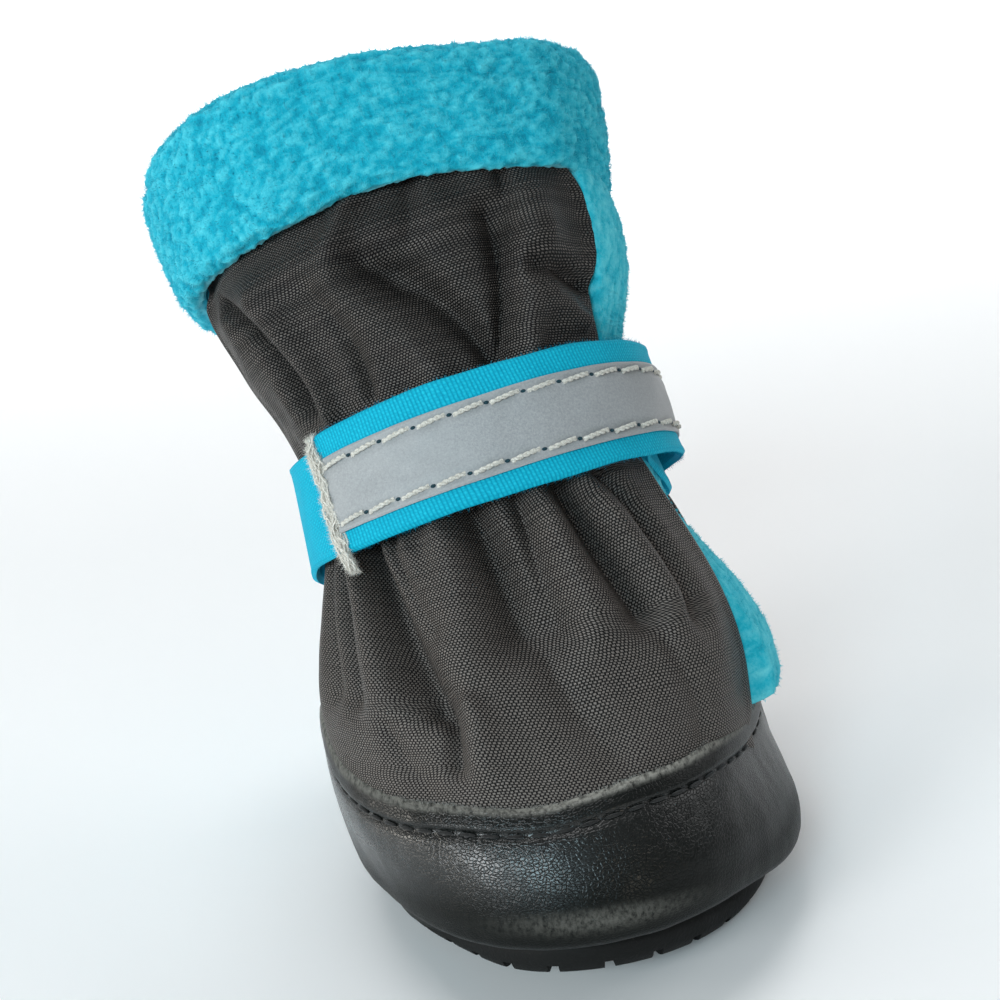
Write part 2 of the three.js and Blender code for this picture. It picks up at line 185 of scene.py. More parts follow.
def waver(points, size, salt):
    """Smooth noise from 0 to 1 with bumps of about the given size."""
    scaled = np.asarray(points, float) / size
    cell = np.floor(scaled).astype(np.int64)
    t = scaled - cell
    t = t * t * (3 - 2 * t)
    total = 0
    for corner in np.ndindex(2, 2, 2):
        weight = np.prod(np.where(corner, t, 1 - t), axis=-1)
        total = total + weight * scatter(cell + np.array(corner), salt)
    return total


def sway(points, size, salt, reach):
    """The same noise about zero, by up to half the reach each way."""
    return (waver(points, size, salt) - 0.5) * reach


def on_ring(turn, radius, height=0.0):
    """Places on a plain ring, to look noise up at."""
    return np.stack([np.cos(turn) * radius, np.sin(turn) * radius, np.zeros_like(turn) + height], -1)


def on_sheet(across, along):
    """Places on a flat sheet, to look noise up at."""
    return np.stack([across, along, np.zeros_like(across)], -1)


def tufts(points, size, salt):
    """Distance to the nearest of scattered points, as a share of their spacing."""
    scaled = np.asarray(points, float) / size
    cell = np.floor(scaled).astype(np.int64)
    nearest = np.full(scaled.shape[:-1], 9.0)
    for offset in np.ndindex(3, 3, 3):
        other = cell + np.array(offset) - 1
        spot = other + np.stack([scatter(other, salt + k) for k in range(3)], -1)
        nearest = np.minimum(nearest, np.sum((spot - scaled) ** 2, -1))
    return np.sqrt(nearest)


def nap(points):
    """Height of a nubbly fleece pile, 0 to 1."""
    bend = np.stack([waver(points, 2.4, salt) for salt in (1, 2, 3)], -1) - 0.5
    bent = points + 0.7 * bend
    coarse = 1 - tufts(bent, CLUMP, 11)
    fine = 1 - tufts(bent + 0.5 * bend, CLUMP * 0.5, 21)
    return np.clip(0.15 + 0.6 * coarse + 0.35 * fine, 0, 1)


# Modelling helpers
def read_rows(items, name):
    rows = np.empty(len(items) * 3)
    items.foreach_get(name, rows)
    return rows.reshape(-1, 3)


def read_points(piece):
    return read_rows(piece.data.vertices, "co")


def read_normals(piece):
    return read_rows(piece.data.vertex_normals, "vector")


def lay(piece, points):
    """Moves the piece's vertices to points given in millimetres."""
    piece.data.vertices.foreach_set("co", (np.asarray(points) * MM).ravel())
    piece.data.update()


def mark(piece, name, values):
    """Keeps one number per vertex for the piece's material."""
    layer = piece.data.attributes.new(name, "FLOAT", "POINT")
    layer.data.foreach_set("value", np.ascontiguousarray(values, dtype=np.float32))


def unroll(piece, across, along):
    """Lays the piece's UV map out in millimetres of cloth."""
    corner = np.empty(len(piece.data.loops), np.int64)
    piece.data.loops.foreach_get("vertex_index", corner)
    flat = np.stack([across, along], -1)[corner]
    piece.data.uv_layers.active.data.foreach_set("uv", flat.astype(np.float32).ravel())


def named(piece, name):
    piece.name = name
    piece.data.name = name
    return piece


def pick_alone(piece):
    bpy.ops.object.select_all(action="DESELECT")
    piece.select_set(True)
    bpy.context.view_layer.objects.active = piece


def finish_with(piece, kind, **settings):
    """Adds a modifier and applies it."""
    pick_alone(piece)
    modifier = piece.modifiers.new(kind.title(), kind)
    for name, value in settings.items():
        setattr(modifier, name, value)
    bpy.ops.object.modifier_apply(modifier=modifier.name)


def smooth(piece, angle=None):
    pick_alone(piece)
    if angle is None:
        bpy.ops.object.shade_smooth()
    else:
        bpy.ops.object.shade_smooth_by_angle(angle=math.radians(angle))


def add_primitive(primitive_add, **settings):
    """A new primitive, with nothing else selected."""
    bpy.ops.object.select_all(action="DESELECT")
    primitive_add(**settings)
    return bpy.context.object


def bead(segments, radii):
    """A globe stretched to three radii in millimetres, for one stitch, or for the dark bead that paints
    the shade in one needle hole.
    """
    globe_add = bpy.ops.mesh.primitive_uv_sphere_add
    piece = add_primitive(globe_add, segments=segments, ring_count=6, radius=MM)
    lay(piece, read_points(piece) / MM * radii)
    return piece


def grid_piece(name, columns, rows, place):
    """A flat grid laid onto the shoe. place(u, v) gives millimetres, u across and v up, both 0 to 1.

    The piece's UV map follows the laid cloth: millimetres across from the middle and up from the foot.
    """
    counts = {"x_subdivisions": columns, "y_subdivisions": rows}
    piece = named(add_primitive(bpy.ops.mesh.primitive_grid_add, size=1, **counts), name)
    flat = read_points(piece) + 0.5
    column = np.rint(flat[:, 0] * columns).astype(int)
    row = np.rint(flat[:, 1] * rows).astype(int)
    u, v = np.meshgrid(np.linspace(0, 1, columns + 1), np.linspace(0, 1, rows + 1))
    points = place(u, v)
    lay(piece, points[row, column])
    step_across = np.linalg.norm(np.diff(points, axis=1), axis=-1)
    step_up = np.linalg.norm(np.diff(points, axis=0), axis=-1)
    across = np.pad(np.cumsum(step_across, axis=1), ((0, 0), (1, 0)))
    across -= across[:, columns // 2][:, None]
    up = np.pad(np.cumsum(step_up, axis=0), ((1, 0), (0, 0)))
    up = np.repeat(up[:, columns // 2][:, None], columns + 1, axis=1)
    unroll(piece, across[row, column], up[row, column])
    return piece, u[row, column], v[row, column]


def ring_piece(name, around, section, place):
    """A torus laid onto the shoe. place(turn, share) gives millimetres, where share goes once round
    the section."""
    counts = {"major_segments": around, "minor_segments": section}
    torus_add = bpy.ops.mesh.primitive_torus_add
    piece = named(add_primitive(torus_add, major_radius=2, minor_radius=1, **counts), name)
    x, y, z = read_points(piece).T
    turn = np.arctan2(x, -y)
    share = np.mod(np.arctan2(z, np.hypot(x, y) - 2) / (2 * math.pi) + 0.25, 1)
    share = np.mod(np.rint(share * section), section) / section
    lay(piece, place(turn, share))
    return piece, turn, share


def plate_piece(name, around, rings, place):
    """A globe laid flat into a plate. place(turn, share) gives millimetres, share runs from the middle
    of the underside, 0, round the edge to the middle of the top, 1."""
    counts = {"segments": around, "ring_count": rings}
    piece = named(add_primitive(bpy.ops.mesh.primitive_uv_sphere_add, radius=1, **counts), name)
    x, y, z = read_points(piece).T
    share = 1 - np.arccos(np.clip(z, -1, 1)) / math.pi
    lay(piece, place(np.arctan2(x, -y), share))
    return piece, share


def bend_tube(name, paths, radius):
    """Round threads along paths in millimetres: bevelled curves, turned into one mesh."""
    curve = bpy.data.curves.new(name, "CURVE")
    curve.dimensions = "3D"
    curve.bevel_depth = radius * MM
    curve.bevel_resolution = 1
    curve.use_fill_caps = True
    for path in paths:
        spline = curve.splines.new("POLY")
        spline.points.add(len(path) - 1)
        points = np.concatenate([np.asarray(path) * MM, np.ones((len(path), 1))], axis=1)
        spline.points.foreach_set("co", points.ravel())
    piece = bpy.data.objects.new(name, curve)
    bpy.context.collection.objects.link(piece)
    pick_alone(piece)
    bpy.ops.object.convert(target="MESH")
    return named(bpy.context.object, name)


def repeat_piece(name, model, places, axes):
    """Copies of one model at each place, turned to axes given as columns, in one mesh."""
    points = read_points(model) / MM
    faces = [np.array(p.vertices) for p in model.data.polygons]
    bpy.data.objects.remove(model, do_unlink=True)
    copies = np.einsum("nij,kj->nki", axes, points) + places[:, None, :]
    every = [tuple(face + i * len(points)) for i in range(len(places)) for face in faces]
    mesh = bpy.data.meshes.new(name)
    mesh.from_pydata((copies.reshape(-1, 3) * MM).tolist(), [], every)
    piece = bpy.data.objects.new(name, mesh)
    bpy.context.collection.objects.link(piece)
    return piece


# Shader helpers
def srgb(red, green, blue):
    """A colour from its screen values, 0 to 255."""
    share = np.array([red, green, blue]) / 255
    linear = np.where(share <= 0.04045, share / 12.92, ((share + 0.055) / 1.055) ** 2.4)
    return (*linear.tolist(), 1.0)


class Nodes:
    """Places nodes in a tree and joins them; a value that is a socket is linked, any other is set."""

    def __init__(self, tree):
        self.tree = tree

    def put(self, kind, feeds=None, **settings):
        node = self.tree.nodes.new(kind)
        for name, value in settings.items():
            setattr(node, name, value)
        for key, value in (feeds or {}).items():
            self.feed(node.inputs[key], value)
        return node

    def feed(self, socket, value):
        if isinstance(value, bpy.types.NodeSocket):
            self.tree.links.new(value, socket)
        else:
            socket.default_value = value

    def sum(self, operation, *values):
        return self.put("ShaderNodeMath", dict(enumerate(values)), operation=operation).outputs[0]

    def vary(self, value, change, amount):
        """The value moved up and down by a change that runs from 0 to 1."""
        return self.sum("MULTIPLY_ADD", self.sum("SUBTRACT", change, 0.5), amount, value)

    def noise(self, vector, scale, detail=2.0, roughness=0.5):
        feeds = {"Vector": vector, "Scale": scale, "Detail": detail, "Roughness": roughness}
        return self.put("ShaderNodeTexNoise", feeds).outputs["Fac"]

    def cells(self, vector, scale):
        """Distance to the nearest edge between uneven cells."""
        feeds = {"Vector": vector, "Scale": scale}
        kind = {"voronoi_dimensions": "2D", "feature": "DISTANCE_TO_EDGE"}
        return self.put("ShaderNodeTexVoronoi", feeds, **kind).outputs["Distance"]

    def range(self, value, low, high, to_low=0.0, to_high=1.0):
        feeds = {"Value": value, "From Min": low, "From Max": high, "To Min": to_low, "To Max": to_high}
        return self.put("ShaderNodeMapRange", feeds).outputs["Result"]

    def mix(self, share, first, second):
        feeds = {0: share, 6: first, 7: second}
        return self.put("ShaderNodeMix", feeds, data_type="RGBA", blend_type="MIX").outputs[2]

    def ramp(self, share, stops):
        node = self.put("ShaderNodeValToRGB", {"Fac": share})
        marks = node.color_ramp.elements
        while len(marks) < len(stops):
            marks.new(0.5)
        for stop, (position, colour) in zip(marks, stops):
            stop.position = position
            stop.color = colour
        return node.outputs["Color"]

    def stretch(self, vector, scale):
        return self.put("ShaderNodeMapping", {"Vector": vector, "Scale": scale}).outputs["Vector"]

    def strayed(self, vector, scale, reach):
        """The vector moved about unevenly, by up to half the reach each way."""
        noise = {"Vector": vector, "Scale": scale, "Detail": 2.0}
        stray = self.put("ShaderNodeTexNoise", noise).outputs["Color"]
        centre = {0: stray, 1: (0.5, 0.5, 0.5)}
        centred = self.put("ShaderNodeVectorMath", centre, operation="SUBTRACT").outputs[0]
        feeds = {0: centred, 1: (reach, reach, reach), 2: vector}
        return self.put("ShaderNodeVectorMath", feeds, operation="MULTIPLY_ADD").outputs[0]

    def bump(self, height, strength, distance):
        feeds = {"Height": height, "Strength": strength, "Distance": distance}
        return self.put("ShaderNodeBump", feeds).outputs["Normal"]

    def group(self, tree, feeds):
        return self.put("ShaderNodeGroup", feeds, node_tree=tree).outputs

    def wire(self, shader, **feeds):
        """Feeds sockets of a shader; an underscore stands for a space in a socket's name."""
        for name, value in feeds.items():
            self.feed(shader.inputs[name.replace("_", " ")], value)


def new_material(name, **plain):
    """A material and its nodes, with the plain values set on the shader's own sockets."""
    material = bpy.data.materials.new(name)
    material.use_nodes = True
    nodes = Nodes(material.node_tree)
    shader = material.node_tree.nodes["Principled BSDF"]
    nodes.wire(shader, **plain)
    return material, nodes, shader


def new_group(name, inputs, outputs):
    tree = bpy.data.node_groups.new(name, "ShaderNodeTree")
    for label, kind in inputs:
        tree.interface.new_socket(label, in_out="INPUT", socket_type=kind)
    for label, kind in outputs:
        tree.interface.new_socket(label, in_out="OUTPUT", socket_type=kind)
    nodes = Nodes(tree)
    return tree, nodes, nodes.put("NodeGroupInput").outputs, nodes.put("NodeGroupOutput")


def weave_group():
    """Plain weave: warp and weft cross over in turn. Threads is the cloth in thread widths."""
    tree, n, given, out = new_group(
        "weave",
        [("Threads", "NodeSocketVector")],
        [(label, "NodeSocketFloat") for label in ("Warp", "Weft", "Row", "Tone")],
    )
    part = n.put("ShaderNodeSeparateXYZ", {0: given["Threads"]}).outputs
    crown, number = [], []
    for axis in ("X", "Y"):
        share = n.sum("FRACT", part[axis])
        crown.append(n.sum("SINE", n.sum("MULTIPLY", share, math.pi)))
        number.append(n.sum("FLOOR", part[axis]))
    over = n.sum("FLOORED_MODULO", n.sum("ADD", *number), 2.0)
    under = n.sum("SUBTRACT", 1.0, over)
    for label, top, along, shown in (("Warp", 0, 1, over), ("Weft", 1, 0, under)):
        lift = n.sum("MULTIPLY_ADD", crown[along], 0.6, 0.4)
        height = n.sum("MULTIPLY", n.sum("POWER", crown[top], 0.7), lift)
        n.feed(out.inputs[label], n.sum("MULTIPLY", height, shown))
    thread = n.sum("MULTIPLY_ADD", number[0], over, n.sum("MULTIPLY", number[1], under))
    seed = n.put("ShaderNodeCombineXYZ", {"X": thread, "Y": over}).outputs[0]
    tone = n.put("ShaderNodeTexWhiteNoise", {"Vector": seed}, noise_dimensions="2D").outputs["Value"]
    n.feed(out.inputs["Row"], crown[1])
    n.feed(out.inputs["Tone"], tone)
    return tree


def dust_group():
    """Pale specks and a thin film of dust, as a mask."""
    tree, n, given, out = new_group(
        "dust",
        [("Place", "NodeSocketVector"), ("Fineness", "NodeSocketFloat"), ("Amount", "NodeSocketFloat")],
        [("Mask", "NodeSocketFloat")],
    )
    speck = n.noise(given["Place"], given["Fineness"], 3.0, 0.7)
    patch = n.noise(given["Place"], n.sum("MULTIPLY", given["Fineness"], 0.12), 2.0)
    limit = n.sum("SUBTRACT", 0.74, n.sum("MULTIPLY", given["Amount"], 0.2))
    sharp = n.range(speck, limit, n.sum("ADD", limit, 0.1))
    n.feed(out.inputs["Mask"], n.sum("MULTIPLY", sharp, n.range(patch, 0.35, 0.65)))
    return tree


WEAVE = weave_group()
DUST = dust_group()


def object_place(n):
    return n.put("ShaderNodeTexCoord").outputs["Object"]


def cloth_place(n):
    return n.put("ShaderNodeUVMap").outputs["UV"]


def kept_mark(n, name):
    return n.put("ShaderNodeAttribute", attribute_name=name).outputs["Fac"]


def dusted(n, colour, dust, fineness, amount, strength):
    """The colour with specks of dust over it."""
    feeds = {"Place": object_place(n), "Fineness": fineness, "Amount": amount}
    mask = n.group(DUST, feeds)["Mask"]
    return n.mix(n.sum("MULTIPLY", mask, strength), colour, dust)


def fleece_material(name, deep, middle, tip, sheen):
    """Nubbly fleece, fuzzy at its tips: painted shade between the nubs and painted light on their tips.
    """
    material, n, shader = new_material(
        name,
        Roughness=0.95,
        Sheen_Weight=sheen,
        Sheen_Roughness=0.35,
        Sheen_Tint=srgb(150, 230, 242),
        Specular_IOR_Level=0.15,
    )
    place = object_place(n)
    fibre = n.noise(place, 2600, 2.0, 0.7)
    patch = n.noise(place, 260, 3.0, 0.6)
    # The colour follows the height of the pile: painted shade in the hollows, painted light on the
    # tips.
    share = n.vary(n.vary(kept_mark(n, "pile"), fibre, 0.5), patch, 0.35)
    colour = n.ramp(share, [(0.18, deep), (0.52, middle), (0.92, tip)])
    pale = n.sum("MULTIPLY", kept_mark(n, "cut_edge"), 0.45)
    colour = n.mix(pale, colour, srgb(150, 222, 232))
    n.wire(shader, Base_Color=colour, Normal=n.bump(fibre, 0.6, 0.0003))
    return material


def oxford_material():
    """Black coated basket weave: a painted highlight, a little brownish, on the crowns of its threads,
    and painted shade between them.
    """
    material, n, shader = new_material("oxford_cloth", Specular_IOR_Level=0.22)
    cloth = cloth_place(n)
    threads = n.stretch(n.strayed(n.strayed(cloth, 0.35, 0.6), 2.6, 0.1), (3.95, 3.3, 1))
    weave = n.group(WEAVE, {"Threads": threads})
    sunk = n.range(weave["Warp"], 0.3, 0.75, 1.0, 0.12)
    height = n.sum("MULTIPLY", n.sum("POWER", weave["Row"], 0.6), sunk)
    slub = n.noise(threads, 0.9, 2.0, 0.6)
    # The tone follows the height of the weave: painted highlight on the crowns, painted shade in the
    # hollows.
    tone = n.vary(n.vary(height, weave["Tone"], 0.15), slub, 0.4)
    # Painted shade: the cloth darkens towards its top, under the cuff, and is lighter low down where it
    # faces up to the light.
    up = n.put("ShaderNodeSeparateXYZ", {0: object_place(n)}).outputs["Z"]
    tone = n.sum("ADD", tone, n.range(up, 0.02, 0.08, 0.12, -0.2))
    tones = [(0.15, srgb(4, 4, 4)), (0.5, srgb(27, 25, 25)), (0.95, srgb(119, 112, 107))]
    colour = dusted(n, n.ramp(tone, tones), srgb(110, 106, 102), 1400.0, 0.3, 0.25)
    n.wire(
        shader,
        Base_Color=n.mix(kept_mark(n, "hem"), colour, srgb(13, 12, 12)),
        Roughness=n.range(height, 0.0, 1.0, 0.7, 0.4),
        Normal=n.bump(height, 0.8, 0.00012),
    )
    return material


def leather_material():
    """Black leather with a pebbled, wrinkled grain: polished on its face, dull where it tucks under."""
    material, n, shader = new_material(
        "black_leather", Specular_IOR_Level=0.09, Coat_Roughness=0.25, Coat_IOR=1.6
    )
    cloth = cloth_place(n)
    drawn = n.stretch(n.strayed(n.strayed(cloth, 1.1, 0.5), 3.0, 0.15), (0.8, 1.2, 1))
    plateau = n.range(n.cells(drawn, 2.5), 0.0, 0.2)
    crinkle = n.noise(n.stretch(cloth, (0.8, 1.5, 1)), 1.3, 3.0, 0.6)
    fine = n.noise(cloth, 6.0, 3.0, 0.6)
    height = n.sum("MULTIPLY_ADD", plateau, 0.45, crinkle)
    height = n.sum("MULTIPLY_ADD", fine, 0.08, height)
    rub = n.noise(n.stretch(cloth, (1, 0.6, 1)), 1.6, 4.0, 0.7)
    # Pale where the cut edge is rubbed, which is wear, and along a line on the bend, which is a painted
    # highlight.
    wear_and_glint = n.sum("MULTIPLY", kept_mark(n, "rubbed_edge_and_glint"), n.range(rub, 0.32, 0.58))
    # Painted shade: the cracks of the grain are darker than its plateaus.
    colour = n.mix(plateau, srgb(4, 6, 5), srgb(10, 14, 12))
    colour = n.mix(wear_and_glint, colour, srgb(162, 160, 152))
    rough = n.sum("ADD", wear_and_glint, n.sum("MULTIPLY", rub, 0.3))
    shine = n.sum("MULTIPLY", kept_mark(n, "polish"), n.range(plateau, 0.0, 1.0, 0.6, 1.0))
    grain = n.bump(height, 0.42, 0.00012)
    n.wire(
        shader,
        Base_Color=dusted(n, colour, srgb(110, 112, 112), 1500.0, 0.25, 0.3),
        Roughness=n.range(rough, 0.0, 1.2, 0.35, 0.8),
        Coat_Weight=n.sum("MULTIPLY", shine, n.range(wear_and_glint, 0.0, 1.0, 1.0, 0.2)),
        Normal=grain,
        Coat_Normal=grain,
    )
    return material


def rubber_material():
    """Matte black rubber, rubbed grey and dusty in the tread."""
    material, n, shader = new_material("black_rubber", Specular_IOR_Level=0.22)
    place = object_place(n)
    grain = n.noise(place, 2200, 3.0, 0.6)
    patch = n.noise(place, 150, 3.0, 0.6)
    colour = n.ramp(patch, [(0.3, srgb(10, 11, 11)), (0.7, srgb(22, 23, 22))])
    n.wire(
        shader,
        Base_Color=dusted(n, colour, srgb(120, 115, 108), 2200.0, 0.45, 0.35),
        Roughness=n.range(patch, 0.3, 0.7, 0.6, 0.85),
        Normal=n.bump(grain, 0.5, 0.0002),
    )
    return material


def webbing_material():
    """Turquoise webbing with fine ribs across it, each broken into short floats."""
    material, n, shader = new_material(
        "ribbed_webbing",
        Roughness=0.75,
        Sheen_Weight=0.08,
        Sheen_Roughness=0.4,
        Sheen_Tint=srgb(140, 225, 245),
        Specular_IOR_Level=0.15,
    )
    cloth = cloth_place(n)
    threads = n.stretch(n.strayed(n.strayed(cloth, 1.2, 0.14), 3.5, 0.12), (2.4, 2.4, 1))
    weave = n.group(WEAVE, {"Threads": threads})
    rib = n.put("ShaderNodeSeparateXYZ", {0: threads}).outputs["X"]
    rib = n.sum("SINE", n.sum("MULTIPLY", n.sum("FRACT", rib), math.pi))
    height = n.sum("ADD", n.sum("MULTIPLY", weave["Weft"], 0.55), weave["Warp"])
    height = n.sum("MULTIPLY_ADD", height, 0.55, n.sum("MULTIPLY", rib, 0.45))
    fibre = n.noise(n.stretch(cloth, (3.0, 1.2, 1)), 1.6, 3.0, 0.7)
    patch = n.noise(object_place(n), 300, 3.0, 0.6)
    # The tone follows the height of the weave: painted shade between the threads, painted light on the
    # floats.
    tone = n.vary(n.vary(height, patch, 0.35), fibre, 0.9)
    tones = [(0.1, srgb(0, 148, 178)), (0.5, srgb(0, 166, 197)), (1.0, srgb(26, 190, 214))]
    n.wire(shader, Base_Color=n.ramp(tone, tones), Normal=n.bump(height, 0.4, 0.00015))
    return material


def tape_material():
    """Silver grey reflective tape: a close, slightly glittering grain."""
    material, n, shader = new_material("silver_tape", Specular_IOR_Level=0.45)
    place = object_place(n)
    grain = n.noise(place, 3800, 2.0, 0.7)
    glitter = n.noise(place, 7000, 1.0, 0.5)
    smear = n.noise(place, 120, 3.0, 0.6)
    tone = n.vary(grain, smear, 0.3)
    tones = [(0.25, srgb(142, 145, 147)), (0.5, srgb(155, 158, 160)), (0.75, srgb(169, 171, 172))]
    n.wire(
        shader,
        Base_Color=n.ramp(tone, tones),
        Metallic=n.range(glitter, 0.5, 0.75, 0.0, 0.2),
        Roughness=n.range(grain, 0.3, 0.7, 0.42, 0.62),
        Normal=n.bump(glitter, 0.25, 0.00008),
    )
    return material


def thread_material(name, dark, pale):
    material, n, shader = new_material(name, Roughness=0.8, Sheen_Weight=0.2, Specular_IOR_Level=0.25)
    fibre = n.noise(object_place(n), 4200, 2.0, 0.7)
    colour = n.ramp(fibre, [(0.3, dark), (0.7, pale)])
    n.wire(shader, Base_Color=colour, Normal=n.bump(fibre, 0.5, 0.0001))
    return material


FLEECE = fleece_material(
    "turquoise_fleece", srgb(7, 133, 160), srgb(22, 166, 190), srgb(82, 202, 218), sheen=0.4
)
LINING = fleece_material(
    "lining_fleece", srgb(12, 144, 172), srgb(40, 184, 206), srgb(110, 216, 228), sheen=0.45
)
OXFORD_CLOTH = oxford_material()
BLACK_LEATHER = leather_material()
BLACK_RUBBER = rubber_material()
RIBBED_WEBBING = webbing_material()
SILVER_TAPE = tape_material()
WHITE_THREAD = thread_material("cream_thread", srgb(176, 173, 163), srgb(224, 222, 214))
GREY_THREAD = thread_material("grey_thread", srgb(84, 84, 82), srgb(176, 174, 168))
DARK_THREAD = thread_material("black_thread", srgb(14, 14, 15), srgb(44, 43, 42))
NEEDLE_HOLE_SHADE = thread_material("needle_hole_shade", srgb(10, 34, 42), srgb(24, 66, 78))
HAIR_THREAD = thread_material("frayed_yarn", srgb(206, 200, 188), srgb(246, 244, 238))


def dress(piece, material, slot, *nodes):
    """Gives a finished piece its material and its body, and hides the solids it stands for; the slot is
    not used.
    """
    piece.data.materials.clear()
    piece.data.materials.append(material)
    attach(piece, "root")
    if nodes:
        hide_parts(*nodes)
    return piece


# Cuff: fleece turned over the collar edge. The loop goes up the outside and down the inside.
def cuff_loop():
    inside = -(FLEECE_WALL + GAP)
    low = CUFF_EDGE + 0.7
    top = COLLAR - 1.0
    seen = [
        (GAP, low),
        (CUFF_PILE * 0.62, low - 0.3),
        (CUFF_PILE * 0.95, low + 1.0),
        (CUFF_PILE, low + 4),
        (CUFF_PILE, blend(low, COLLAR_EDGE, 0.6)),
        (CUFF_PILE * 0.93, COLLAR_EDGE - 0.2),
        (CUFF_PILE * 0.6, top),
        (-FLEECE_WALL * 0.5, top + 0.8),
        (inside - CUFF_LINING * 0.7, top - 1),
        (inside - CUFF_LINING, COLLAR_EDGE - 1.5),
        (inside - CUFF_LINING * 0.8, COLLAR_EDGE - 9),
    ]
    hidden = [
        (inside, COLLAR_EDGE - 9),
        (inside, COLLAR_EDGE + GAP),
        (GAP, COLLAR_EDGE + GAP),
        (GAP, low),
    ]
    return np.array(seen), np.array(seen[-1:] + hidden)


def along_line(corners, share, curved):
    knots = np.concatenate([[0], np.cumsum(np.hypot(*np.diff(corners, axis=0).T))])
    at = share * knots[-1]
    follow = through if curved else lambda k, v, x: np.interp(x, k, v)
    return [follow(knots, corners[:, i], at) for i in (0, 1)]


CUFF_SEEN_SHARE = 0.9
CUFF_RADIUS = 24
CUFF_SLACK = 1.3
CUFF_MERGE = 0.45  # how much flatter its foot lies over the right gusset
CUFF_FLARE = 1.2  # how far its top stands out there
BROAD_LUMPS, SMALL_LUMPS = 0.9, 0.8
# How far the top edge stands above its plain level: degrees of turn, millimetres
CUFF_RISE = np.array(
    [(-180, 0.0), (-110, 2.0), (-75, 3.6), (-39, 3.9), (-14, 3.0), (2, 2.0), (20, 0.7), (42, 0.0)]
    + [(60, 0.8), (80, 2.0), (100, 2.4), (135, 1.0), (180, 0.0)]
)
# How far the cut lower edge hangs down: degrees of turn, millimetres
CUFF_DROP = np.array(
    [(-180, 0.0), (-110, -1.3), (-75, -0.6), (-61, -0.1), (-50, 0.4), (-28, 0.5), (0, 0.3), (21, 1.2)]
    + [(43, 2.5), (110, 1.5), (180, 0.0)]
)


def cuff_place(turn, share):
    seen, hidden = cuff_loop()
    degrees = wrapped(turn)
    shown = share < CUFF_SEEN_SHARE
    front = along_line(seen, np.clip(share / CUFF_SEEN_SHARE, 0, 1), True)
    rest = np.clip((share - CUFF_SEEN_SHARE) / (1 - CUFF_SEEN_SHARE), 0, 1)
    back = along_line(hidden, rest, False)
    out, level = (np.where(shown, a, b) for a, b in zip(front, back))
    ring = on_ring(turn, CUFF_RADIUS)
    slack = sway(ring, 9, 41, CUFF_SLACK)
    level = level + np.where(shown, slack * ease(np.abs(out), 0.2, 2.5), 0)
    level = level + through(*CUFF_RISE.T, degrees) * ease(level, CUFF_EDGE + 1, COLLAR - 2)
    merged = CUFF_MERGE * ease(degrees, 44, 60) * (1 - ease(degrees, 100, 125))
    flatter = 1 - merged * (1 - ease(level, CUFF_EDGE, CUFF_EDGE + 7))
    out = np.where(out > 0, out * flatter, out)
    out = out + CUFF_FLARE * bell(degrees - 85, 30) * ease(level, CUFF_EDGE + 5, COLLAR)
    drop = np.interp(np.degrees(turn), *CUFF_DROP.T) * (1 - ease(level, CUFF_EDGE, CUFF_EDGE + 9))
    level = level - np.where(out > 0, drop, 0)
    lumps = sway(ring, 13, 42, BROAD_LUMPS) + sway(ring, 4.5, 44, SMALL_LUMPS)
    out = out + np.where(out > 1, lumps, 0)
    return skin_point(turn, level, out)


PILE_MIDDLE = 0.45  # the height of the pile that stays where the surface was


def raise_pile(piece, height, where):
    """Lifts the surface into nubs and keeps their height for the material, which paints shade into the
    hollows and light onto the tips from it.
    """
    points = read_points(piece)
    pile = nap(points / MM)
    normals = read_normals(piece)
    lay(piece, points / MM + normals * ((pile - PILE_MIDDLE) * height * where)[:, None])
    mark(piece, "pile", pile)
    return pile


FIBRE_STRAY = 0.1
FIBRE_LENGTHS = (0.5, 1.3)
FIBRE_LEAN = 0.55
FIBRE_ROOT = 0.15


def fuzz_piece(name, piece, chosen, count, length, thickness, seed):
    """Short fibres standing out of chosen vertices of a piece, each a slim three-sided cone, and the
    vertices they stand on."""
    rng = np.random.default_rng(seed)
    points, normals = read_points(piece) / MM, read_normals(piece)
    index = rng.choice(np.flatnonzero(chosen), count)
    base = points[index] + rng.normal(size=(count, 3)) * FIBRE_STRAY
    lean = rng.normal(size=(count, 3))
    tall = length * rng.uniform(*FIBRE_LENGTHS, count)
    ahead = unit(normals[index] + FIBRE_LEAN * lean)
    side = unit(np.cross(ahead, rng.normal(size=(count, 3))))
    cone = {"vertices": 3, "radius1": thickness * MM, "depth": MM, "location": (0, 0, 0)}
    fibre = add_primitive(bpy.ops.mesh.primitive_cone_add, **cone)
    root = read_points(fibre)
    root[:, 2] += 0.5 * MM
    fibre.data.vertices.foreach_set("co", root.ravel())
    axes = np.stack([side, np.cross(ahead, side), ahead * tall[:, None]], -1)
    return repeat_piece(name, fibre, base - ahead * FIBRE_ROOT, axes), index


def mark_fibres(fuzz, pile):
    """Gives each fibre's four corners the height of the pile that it stands on, moved towards the tips,
    so the fibres get little of the painted shade of the hollows.
    """
    mark(fuzz, "pile", np.repeat(np.clip(pile * 0.6 + 0.35, 0, 1), 4))


cuff, _, cuff_share = ring_piece("cuff_fleece", around=520, section=176, place=cuff_place)
shown = ease(cuff_share, 0.0, 0.02) * (1 - ease(cuff_share, CUFF_SEEN_SHARE - 0.02, CUFF_SEEN_SHARE))
cuff_pile = raise_pile(cuff, 1.1, shown)
mark(cuff, "cut_edge", bell(cuff_share - 0.03, 0.012))
smooth(cuff)
dress(cuff, FLEECE, "fleece", "cuff")

